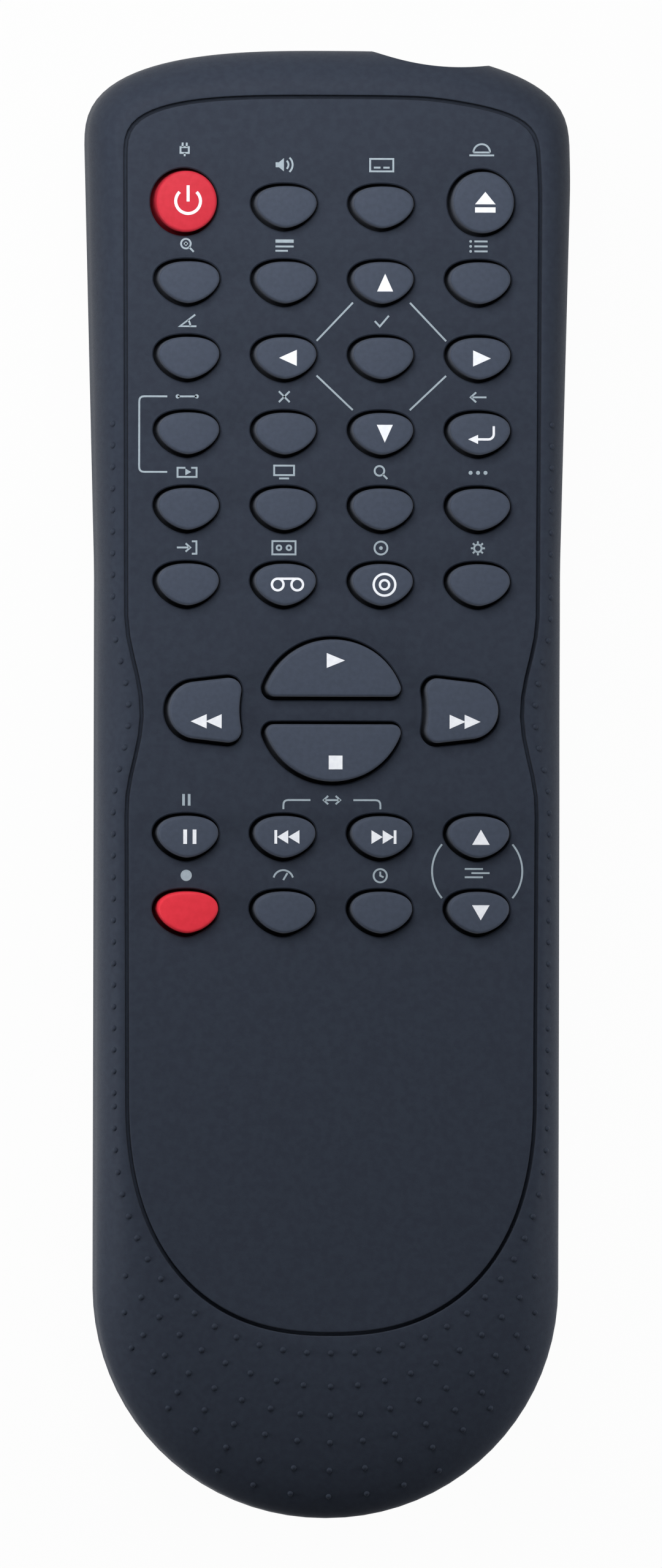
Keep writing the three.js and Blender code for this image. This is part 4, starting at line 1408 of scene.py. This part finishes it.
def key_sign(name, marks):
    """The printed sign of a key, laid on its crowned top."""
    def height(x, y):
        return crown_z(name, x, y) + INK_HEIGHT

    stroke = THIN_STROKE if name in THIN_SIGNS else KEY_STROKE
    solids = printed(shifted(marks, KEY_SIGN_SHIFT_X, 0), stroke, height)
    made = moved(joined(name + "_sign", solids), *key_middle(name))
    finished(made, [glyph_ink], name, "key_rubber")


for key_name, key_marks in KEY_SIGNS.items():
    key_sign(key_name, key_marks)


# Lower shell

bay_head_y = board_low.y - BOARD_TO_BAY - BAY_WALL
bay_foot_y = bay_head_y - BAY_LENGTH
bay_radius = CELL_RADIUS + CELL_GAP
bay_ridge_z = CELL_Z + CELL_RADIUS * RIDGE_SHARE
door_half = CELL_X + bay_radius + BAY_WALL + DOOR_SIDE_MARGIN
door_inner = DOOR_SINK + DOOR_THICKNESS
skin_inset = door_inner + DOOR_BACK_GAP
tongue_top_z = door_inner
tongue_bottom_z = tongue_top_z - TONGUE_THICKNESS
tongue_head_y = DOOR_HEAD_Y - TONGUE_HEAD_MARGIN


def lower_body(name, by, top_z, eased=0):
    """The body below the parting line, its skin moved in by a distance all over."""
    side = inset(body_outline, by + WALL_DRAFT)
    flat = inset(body_outline, BOTTOM_INSET)
    rings = [rounded_ring(flat, side, angle, by, BOTTOM_RISE) for angle in rounding(BOTTOM_STEPS)]
    rings.append(ring_of(inset(body_outline, by), top_z - eased))
    if eased:
        rings.append(ring_of(inset(body_outline, by + eased), top_z))
    return skinned(name, rings)


def door_zone(by):
    """The block that the door takes up, grown by a distance."""
    return block(
        "door_zone",
        (-door_half - by, -HALF_LENGTH - OVERRUN, -OVERRUN),
        (door_half + by, DOOR_HEAD_Y + by, DOOR_TOP_Z + by),
    )


def tub(radius, bottom_z, ridge_z, foot_y, head_y):
    """The form round the two cells: open below, with a ridge between them."""
    made = block("tub", (-CELL_X - radius, foot_y, bottom_z), (CELL_X + radius, head_y, CELL_Z))
    for x in (-CELL_X, CELL_X):
        add(made, moved(along_y(rod("tub_round", radius, 0, head_y - foot_y)), x, foot_y, CELL_Z))
    return add(made, block("ridge", (-CELL_X, foot_y, bottom_z), (CELL_X, head_y, ridge_z)))


def door_frame():
    """The step round the door's opening."""
    made = lower_body("door_frame", WALL / 2, PARTING_Z - OVERRUN)
    cut(made, lower_body("inside", skin_inset + SKIN_THICKNESS, PARTING_Z))
    return shared(made, door_zone(DOOR_GAP + TONGUE_WIDTH + SKIN_THICKNESS))


def tab_slot(x):
    top_z = board_low.z - SOLDER_GAP
    half = TAB_WIDTH / 2 + TAB_GAP
    return block(
        "tab_slot",
        (x - half, bay_head_y - OVERRUN, top_z - PLATE_THICKNESS - TAB_GAP),
        (x + half, bay_head_y + BAY_WALL + OVERRUN, top_z + TAB_GAP),
    )


def screw_bore(x):
    """A bore for a case screw: wide and eased for the head, narrow for the shank."""
    head = SCREW_HEAD_RADIUS + SCREW_CLEARANCE
    shank = SCREW_SHANK_RADIUS + SCREW_CLEARANCE
    profile = [
        (head + SCREW_EASE + OVERRUN, -OVERRUN),
        (head, SCREW_EASE),
        (head, SCREW_SEAT_Z),
        (shank, SCREW_SEAT_Z),
        (shank, SCREW_SEAT_Z + BOSS_FLOOR + OVERRUN),
    ]
    return moved(turned("bore", profile), x, SCREW_Y)


def lower_shell():
    inside = lower_body("inside", WALL, PARTING_Z + OVERRUN)
    bay_outer = (bay_foot_y - BAY_WALL, bay_head_y + BAY_WALL)
    fillings = [nose_block(-OVERRUN, PARTING_Z + 2 * OVERRUN)]
    for x in (-SCREW_X, SCREW_X):
        fillings.append(rod("boss", LOWER_BOSS_RADIUS, -OVERRUN, SCREW_SEAT_Z + BOSS_FLOOR, x, SCREW_Y))
    tub_form = tub(bay_radius + BAY_WALL, skin_inset, CELL_Z, *bay_outer)
    cut(inside, joined("fillings", fillings), door_frame())
    shell = cut(lower_body("lower_shell", 0, PARTING_Z, SEAM_EDGE), inside)
    add(shell, tub_form)
    recess = cut(door_zone(DOOR_GAP), lower_body("inside", skin_inset, PARTING_Z + OVERRUN))
    slot_half = door_half + DOOR_GAP + TONGUE_WIDTH
    slot = block(
        "tongue_slot",
        (-slot_half, -HALF_LENGTH - OVERRUN, tongue_bottom_z - DOOR_GAP),
        (slot_half, tongue_head_y + DOOR_BACK_GAP, tongue_top_z + DOOR_BACK_GAP),
    )
    bay = tub(bay_radius, -OVERRUN, bay_ridge_z, bay_foot_y, bay_head_y)
    add(bay, recess, slot, joined("tab_slots", [tab_slot(-CELL_X), tab_slot(CELL_X)]))
    cut(shell, bay, joined("bores", [screw_bore(-SCREW_X), screw_bore(SCREW_X)]), nose_opening())
    crisp_scoop(finished(shell, [housing_plastic], "case", "housing", "lower_housing"))


lower_shell()


# Battery door

def grip_line(y):
    """A thumb groove across the door with round ends and sloped walls."""
    half = GRIP_HALF_WIDTH - GRIP_LINE_WIDTH / 2
    rings = []
    floor_z = DOOR_SINK + GRIP_DEPTH
    for radius, z in ((GRIP_RADIUS, -OVERRUN), (GRIP_RADIUS, DOOR_SINK), (GRIP_FLOOR_RADIUS, floor_z)):
        right = arc(half, 0, radius, -pi / 2, pi / 2, END_POINTS)
        left = arc(-half, 0, radius, pi / 2, 1.5 * pi, END_POINTS)
        rings.append(level(right + left, z))
    return moved(skinned("grip_line", rings), 0, y)


def door_arrow():
    """A plain arrow sunk in the door, which points the way it slides off."""
    tip_y = DOOR_HEAD_Y - GRIP_MARGIN - GRIP_COUNT * GRIP_PITCH - ARROW_GAP
    base_y = tip_y + ARROW_LENGTH
    outline = [(0, tip_y), (ARROW_HALF_WIDTH, base_y), (-ARROW_HALF_WIDTH, base_y)]
    return prism("door_arrow", outline, -OVERRUN, DOOR_SINK + ARROW_DEPTH)


def tongue():
    return block(
        "tongue",
        (door_half - TONGUE_ROOT, bay_foot_y + TONGUE_FOOT_MARGIN, tongue_bottom_z),
        (door_half + TONGUE_WIDTH, tongue_head_y, tongue_top_z),
    )


def door_panel():
    door = lower_body("door_panel", DOOR_SINK, DOOR_TOP_Z + OVERRUN)
    cut(door, lower_body("inside", door_inner, DOOR_TOP_Z + 2 * OVERRUN))
    low, high = (-door_half, -HALF_LENGTH, 0), (door_half, DOOR_HEAD_Y, DOOR_TOP_Z)
    shared(door, block("door_blank", low, high))
    add(door, tongue(), flipped(tongue(), (1, 0, 0)))
    first_y = DOOR_HEAD_Y - GRIP_MARGIN - GRIP_LINE_WIDTH / 2
    grips = [grip_line(first_y - i * GRIP_PITCH) for i in range(GRIP_COUNT)]
    cut(door, joined("grip_lines", grips), door_arrow())
    finished(door, [housing_plastic], "door", "housing", "battery_door")


door_panel()


# Cells

CELL_HALF = CELL_LENGTH / 2
CELL_AXIS_RADIUS = 0.5
CELL_BAND_SHARE = 0.42
# (radius, height, finish) from the flat end to the raised one
CELL_PROFILE = [
    (CELL_AXIS_RADIUS, -CELL_HALF + 0.25, "metal"),
    (4.4, -CELL_HALF + 0.25, "metal"),
    (4.8, -CELL_HALF, "metal"),
    (6.1, -CELL_HALF, "metal"),
    (6.5, -CELL_HALF + 0.1, "sleeve"),
    (6.95, -CELL_HALF + 0.3, "sleeve"),
    (CELL_RADIUS, -CELL_HALF + 0.65, "sleeve"),
    (CELL_RADIUS, CELL_HALF * CELL_BAND_SHARE, "band"),
    (CELL_RADIUS, CELL_HALF - 0.65, "band"),
    (6.95, CELL_HALF - 0.3, "band"),
    (6.5, CELL_HALF - 0.1, "band"),
    (6, CELL_HALF - 0.1, "metal"),
    (5.6, CELL_HALF - 0.35, "metal"),
    (3.3, CELL_HALF - 0.35, "metal"),
    (2.9, CELL_HALF - 0.2, "metal"),
    (NUB_RADIUS, CELL_HALF + 0.2, "metal"),
    (NUB_RADIUS, CELL_HALF + NUB_LENGTH - 0.4, "metal"),
    (NUB_RADIUS - 0.12, CELL_HALF + NUB_LENGTH - 0.12, "metal"),
    (NUB_RADIUS - 0.4, CELL_HALF + NUB_LENGTH, "metal"),
    (CELL_AXIS_RADIUS, CELL_HALF + NUB_LENGTH, "metal"),
]
CELL_FINISHES = {"sleeve": cell_sleeve, "band": cell_band, "metal": cell_metal}


def cell(index):
    """An unmarked cell, its raised end towards the head on the right and the foot on the left."""
    node = f"battery_{index}"
    made = turned(node + "_cell", [(radius, z) for radius, z, _ in CELL_PROFILE])
    low, high = corners(node)
    toward_head = (low.x + high.x) / 2 > 0
    along_y(made)
    if not toward_head:
        made.data.transform(Matrix.Rotation(pi, 4, "Z"))
    y = low.y + CELL_HALF if toward_head else high.y - CELL_HALF
    moved(made, (low.x + high.x) / 2, y, CELL_Z)
    finished(made, list(CELL_FINISHES.values()), "case", "cell", node)
    names = list(CELL_FINISHES)
    for row, (_, _, finish) in enumerate(CELL_PROFILE[:-1]):
        for i in range(ROUND_SIDES):
            made.data.polygons[row * ROUND_SIDES + i].material_index = names.index(finish)
    for cap in made.data.polygons[-2:]:
        cap.material_index = names.index("metal")


cell(1)
cell(2)


# Battery contacts, made for the end at y = 0 and reaching to -y

def square_plate(middle_x):
    """A sheet metal plate with rounded corners, standing across y."""
    left = middle_x - PLATE_HALF_WIDTH + PLATE_CORNER
    right = middle_x + PLATE_HALF_WIDTH - PLATE_CORNER
    top = PLATE_HALF_HEIGHT - PLATE_CORNER
    outline = []
    for quarter, (x, z) in enumerate(((right, top), (left, top), (left, -top), (right, -top))):
        outline += arc(x, z, PLATE_CORNER, quarter * pi / 2, (quarter + 1) * pi / 2, CORNER_POINTS)
    return skinned("plate", [[(x, y, z) for x, z in outline] for y in (0, -PLATE_THICKNESS)])


def contact_bump(x):
    """A domed dimple pressed out of a plate."""
    profile = [
        (BUMP_RADIUS, -PLATE_THICKNESS / 2),
        *dome(BUMP_RADIUS, BUMP_HEIGHT, BUMP_STEPS),
        (BUMP_TIP_RADIUS, BUMP_HEIGHT),
    ]
    made = turned("bump", profile)
    made.data.transform(Matrix.Rotation(pi / 2, 4, "X"))
    return moved(made, x, -PLATE_THICKNESS)


def contact_spring(x):
    """A tapering coil of round wire along -y."""
    steps = COIL_STEPS * COIL_TURNS
    path = []
    for i in range(steps + 1):
        share = i / steps
        angle = share * COIL_TURNS * 2 * pi
        radius = COIL_BASE_RADIUS + (COIL_TIP_RADIUS - COIL_BASE_RADIUS) * share
        path.append((radius * cos(angle), -(SPRING_LENGTH - WIRE_RADIUS) * share, radius * sin(angle)))
    return moved(wire("spring", path, WIRE_RADIUS), x, -PLATE_THICKNESS)


def solder_tab():
    """The strip that rises behind a head plate and folds over towards the board."""
    rise = board_low.z - SOLDER_GAP - CELL_Z
    half = TAB_WIDTH / 2
    upright = block("tab", (-half, -PLATE_THICKNESS, 0), (half, 0, rise))
    fold = block("fold", (-half, -PLATE_THICKNESS, rise - PLATE_THICKNESS), (half, TAB_REACH, rise))
    return [upright, fold]


def contact(name, node, parts, x, y, toward_head=True):
    """Joins a contact's parts and stands them at one end of the bay."""
    made = parts[0]
    add(made, *parts[1:])
    if not toward_head:
        flipped(made, (0, 1, 0))
    moved(made, x, y, CELL_Z)
    finished(made, [spring_steel], "case", "contact", node)
    made.name = name


def contacts():
    head_y = bay_head_y - PLATE_GAP
    positive = [square_plate(0), *solder_tab(), contact_bump(0)]
    contact("positive_plate", "positive_contact", positive, CELL_X, head_y)
    negative = [square_plate(0), *solder_tab(), contact_spring(0)]
    contact("negative_plate", "negative_contact", negative, -CELL_X, head_y)
    bar_top = bay_ridge_z - CELL_Z - PLATE_GAP
    bridge = [
        square_plate(-CELL_X),
        square_plate(CELL_X),
        block("bar", (-CELL_X, -PLATE_THICKNESS, -PLATE_HALF_HEIGHT), (CELL_X, 0, bar_top)),
        contact_bump(-CELL_X),
        contact_spring(CELL_X),
    ]
    contact("bridge_plate", "bridge_contact", bridge, 0, bay_foot_y + PLATE_GAP, False)


contacts()


# Screws

THREAD_PITCH = 0.9
THREAD_SIDES = 24
THREAD_DEPTH = 0.22
THREAD_ROWS = 6
THREAD_START = 0.4
THREAD_FADE = 0.5
THREAD_FLANK_SHARE = 0.25
SHANK_SINK = 0.3
TIP_LENGTH = 1.6
TIP_SHARE = 0.35
CROSS_DEPTH = 0.9
CROSS_WIDTH = 0.6
CROSS_LENGTH = 2.4
HEAD_AXIS_RADIUS = 0.3
HEAD_EDGE_RADIUS = SCREW_HEAD_RADIUS - 0.25
# (radius, depth below the outer face)
HEAD_PROFILE = [
    (HEAD_AXIS_RADIUS, 0),
    (HEAD_EDGE_RADIUS * 0.7, 0.05),
    (HEAD_EDGE_RADIUS, 0.2),
    (SCREW_HEAD_RADIUS, 0.6),
    (SCREW_HEAD_RADIUS, SCREW_HEAD_THICKNESS),
    (HEAD_AXIS_RADIUS, SCREW_HEAD_THICKNESS),
]


def threaded_shank():
    """A shank whose skin is a helical thread that fades out at both ends."""
    rows = round(SCREW_LENGTH / THREAD_PITCH * THREAD_ROWS)
    rings = []
    for row in range(rows + 1):
        z = SCREW_LENGTH * row / rows - SHANK_SINK
        tip = min(1, (SCREW_LENGTH - SHANK_SINK - z) / TIP_LENGTH)
        fade = min(1, max(0, (z - THREAD_START) / THREAD_FADE)) * tip
        points = []
        for i in range(THREAD_SIDES):
            turn = i / THREAD_SIDES
            phase = (z / THREAD_PITCH - turn) % 1
            crest = max(0, 1 - abs(phase - 0.5) / THREAD_FLANK_SHARE)
            core = SCREW_SHANK_RADIUS - THREAD_DEPTH * (1 - crest * fade)
            radius = core * (TIP_SHARE + (1 - TIP_SHARE) * tip)
            points.append((radius * cos(turn * 2 * pi), radius * sin(turn * 2 * pi), z))
        rings.append(points)
    return skinned("shank", rings)


def case_screw(index):
    node = f"case_screw_{index}"
    profile = [(radius, depth - SCREW_HEAD_THICKNESS) for radius, depth in HEAD_PROFILE]
    head = add(turned(node + "_cross_head", profile), threaded_shank())
    low = -SCREW_HEAD_THICKNESS - OVERRUN
    high = CROSS_DEPTH - SCREW_HEAD_THICKNESS
    for half_x, half_y in ((CROSS_LENGTH / 2, CROSS_WIDTH / 2), (CROSS_WIDTH / 2, CROSS_LENGTH / 2)):
        cut(head, block("cross", (-half_x, -half_y, low), (half_x, half_y, high)))
    place = middle(node)
    moved(head, place.x, place.y, SCREW_SEAT_Z - SEAT_GAP)
    finished(head, [screw_steel], "case", "screw", node)


case_screw(1)
case_screw(2)


# Infrared diode

def diode():
    straight = DIODE_LENGTH - DIODE_RADIUS
    flange_edge = DIODE_FLANGE_RADIUS - FLANGE_EASE
    profile = [
        (LENS_TIP_RADIUS, 0),
        (flange_edge, 0),
        (DIODE_FLANGE_RADIUS, FLANGE_EASE),
        (DIODE_FLANGE_RADIUS, DIODE_FLANGE_THICKNESS - FLANGE_EASE),
        (flange_edge, DIODE_FLANGE_THICKNESS),
        (DIODE_RADIUS, DIODE_FLANGE_THICKNESS),
        *dome(DIODE_RADIUS, DIODE_RADIUS, LENS_STEPS, straight),
        (LENS_TIP_RADIUS, DIODE_LENGTH),
    ]
    lens = moved(along_y(turned("diode_lens", profile)), DIODE_X, diode_high.y - DIODE_LENGTH, DIODE_Z)
    finished(lens, [diode_resin], "case", "diode", "infrared_diode")


def diode_leads():
    base_y = diode_high.y - DIODE_LENGTH
    bend_y = base_y - LEAD_BEND
    leads = []
    for x in (DIODE_X - LEAD_SPACING / 2, DIODE_X + LEAD_SPACING / 2):
        path = [
            (x, base_y + LEAD_SINK, DIODE_Z),
            (x, bend_y + LEAD_CORNER, DIODE_Z),
            (x, bend_y + LEAD_EASE, DIODE_Z + LEAD_EASE),
            (x, bend_y, DIODE_Z + LEAD_CORNER),
            (x, bend_y, board_low.z - SOLDER_GAP),
        ]
        leads.append(wire("lead", path, LEAD_RADIUS))
    finished(joined("diode_leads", leads), [spring_steel], "case", "contact")


diode()
diode_leads()


# Frame nodes that keep their own shape

def refinish(node, material):
    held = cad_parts[node]
    for slot in held.material_slots:
        slot.material = material


refinish("circuit_board", board_laminate)
refinish("keypad_mat", key_rubber)
refinish("controller_chip", chip_resin)
refinish("capacitor", chip_resin)
refinish("transistor", chip_resin)
refinish("resonator", resonator_glaze)


# Camera, floor and lights

# The photograph's height and the object's length in it, in pixels
PHOTO_HEIGHT = 2560
OBJECT_PIXELS = 2402.4
SENSOR = 36
CAMERA_DISTANCE = 2500
CAMERA_LEAN = radians(3.74)
CAMERA_ROLL = radians(0.12)
AIM = (0.148, 0.065, 18)


def camera():
    view_height = PHOTO_HEIGHT * 2 * HALF_LENGTH / OBJECT_PIXELS
    data = bpy.data.cameras.new("camera")
    data.sensor_fit = "AUTO"
    data.sensor_width = SENSOR
    data.lens = SENSOR * CAMERA_DISTANCE / view_height
    made = placed("camera", data)
    back = Vector((-sin(CAMERA_LEAN), 0, cos(CAMERA_LEAN)))
    made.location = (Vector(AIM) + back * CAMERA_DISTANCE) * MM
    look = Matrix.Rotation(-CAMERA_LEAN, 4, "Y") @ Matrix.Rotation(CAMERA_ROLL, 4, "Z")
    made.rotation_euler = look.to_euler()
    bpy.context.scene.camera = made


camera()

FLOOR_HALF = 1500
FLOOR_DEPTH = 10
FLOOR_DROP = 0.05
FLOOR_GLOW_SHARE = 0.97
FLOOR_PAINTED_SHADE_REACH = 2
FLOOR_TONE = 0.4
FLOOR_ROUGHNESS = 0.9


def backdrop_share(nodes, links, seen, unseen):
    """One value for rays from the camera, reflections and clear pieces, another for the rest."""
    path = nodes.new("ShaderNodeLightPath")
    either = path.outputs["Is Camera Ray"]
    for ray in ("Is Glossy Ray", "Is Transmission Ray"):
        either = combined(nodes, links, "MAXIMUM", either, path.outputs[ray])
    share = nodes.new("ShaderNodeMapRange")
    share.inputs["To Min"].default_value = unseen
    share.inputs["To Max"].default_value = seen
    links.new(either, share.inputs["Value"])
    return share.outputs["Result"]


def white_floor():
    """A pale floor that the camera and reflections see as white, with painted shade where the object
    rests.
    """
    material, nodes, links = shader_nodes("floor_white")
    shader = nodes["Principled BSDF"]
    shader.inputs["Base Color"].default_value = (FLOOR_TONE, FLOOR_TONE, FLOOR_TONE, 1)
    shader.inputs["Roughness"].default_value = FLOOR_ROUGHNESS
    glow = nodes.new("ShaderNodeEmission")
    mix = nodes.new("ShaderNodeMixShader")
    # Ambient occlusion fades the glow near the object, which paints a contact shade under it
    painted_contact_shade = nodes.new("ShaderNodeAmbientOcclusion")
    painted_contact_shade.inputs["Distance"].default_value = FLOOR_PAINTED_SHADE_REACH * MM
    glowing = backdrop_share(nodes, links, FLOOR_GLOW_SHARE, 0)
    glow_outside_painted_shade = combined(nodes, links, "MULTIPLY", glowing, painted_contact_shade.outputs["AO"])
    links.new(glow_outside_painted_shade, mix.inputs["Fac"])
    links.new(shader.outputs["BSDF"], mix.inputs[1])
    links.new(glow.outputs["Emission"], mix.inputs[2])
    links.new(mix.outputs["Shader"], nodes["Material Output"].inputs["Surface"])
    return material


def floor():
    low = (-FLOOR_HALF, -FLOOR_HALF, -FLOOR_DEPTH)
    made = block("floor", low, (FLOOR_HALF, FLOOR_HALF, -FLOOR_DROP))
    made.data.materials.append(white_floor())


floor()


def lamp(name, place, size, power):
    """A square soft light that faces the middle of the object, its power in watts."""
    data = bpy.data.lights.new(name, "AREA")
    data.size = size * MM
    data.energy = power
    made = placed(name, data)
    made.location = Vector(place) * MM
    made.rotation_euler = (-Vector(place)).to_track_quat("-Z", "Y").to_euler()


lamp("key_light", (-50, 150, 190), 160, 0.62)
lamp("left_light", (-170, -50, 60), 90, 0.18)
lamp("right_light", (170, -50, 60), 90, 0.15)

WORLD_STRENGTH = 0.1


def surroundings():
    """An even white world that lights the object softly and is itself seen as white."""
    world = bpy.data.worlds.new("world")
    bpy.context.scene.world = world
    world.use_nodes = True
    nodes, links = world.node_tree.nodes, world.node_tree.links
    nodes["Background"].inputs["Color"].default_value = (1, 1, 1, 1)
    strength = backdrop_share(nodes, links, 1, WORLD_STRENGTH)
    links.new(strength, nodes["Background"].inputs["Strength"])


surroundings()
bpy.context.scene.view_settings.view_transform = "Standard"
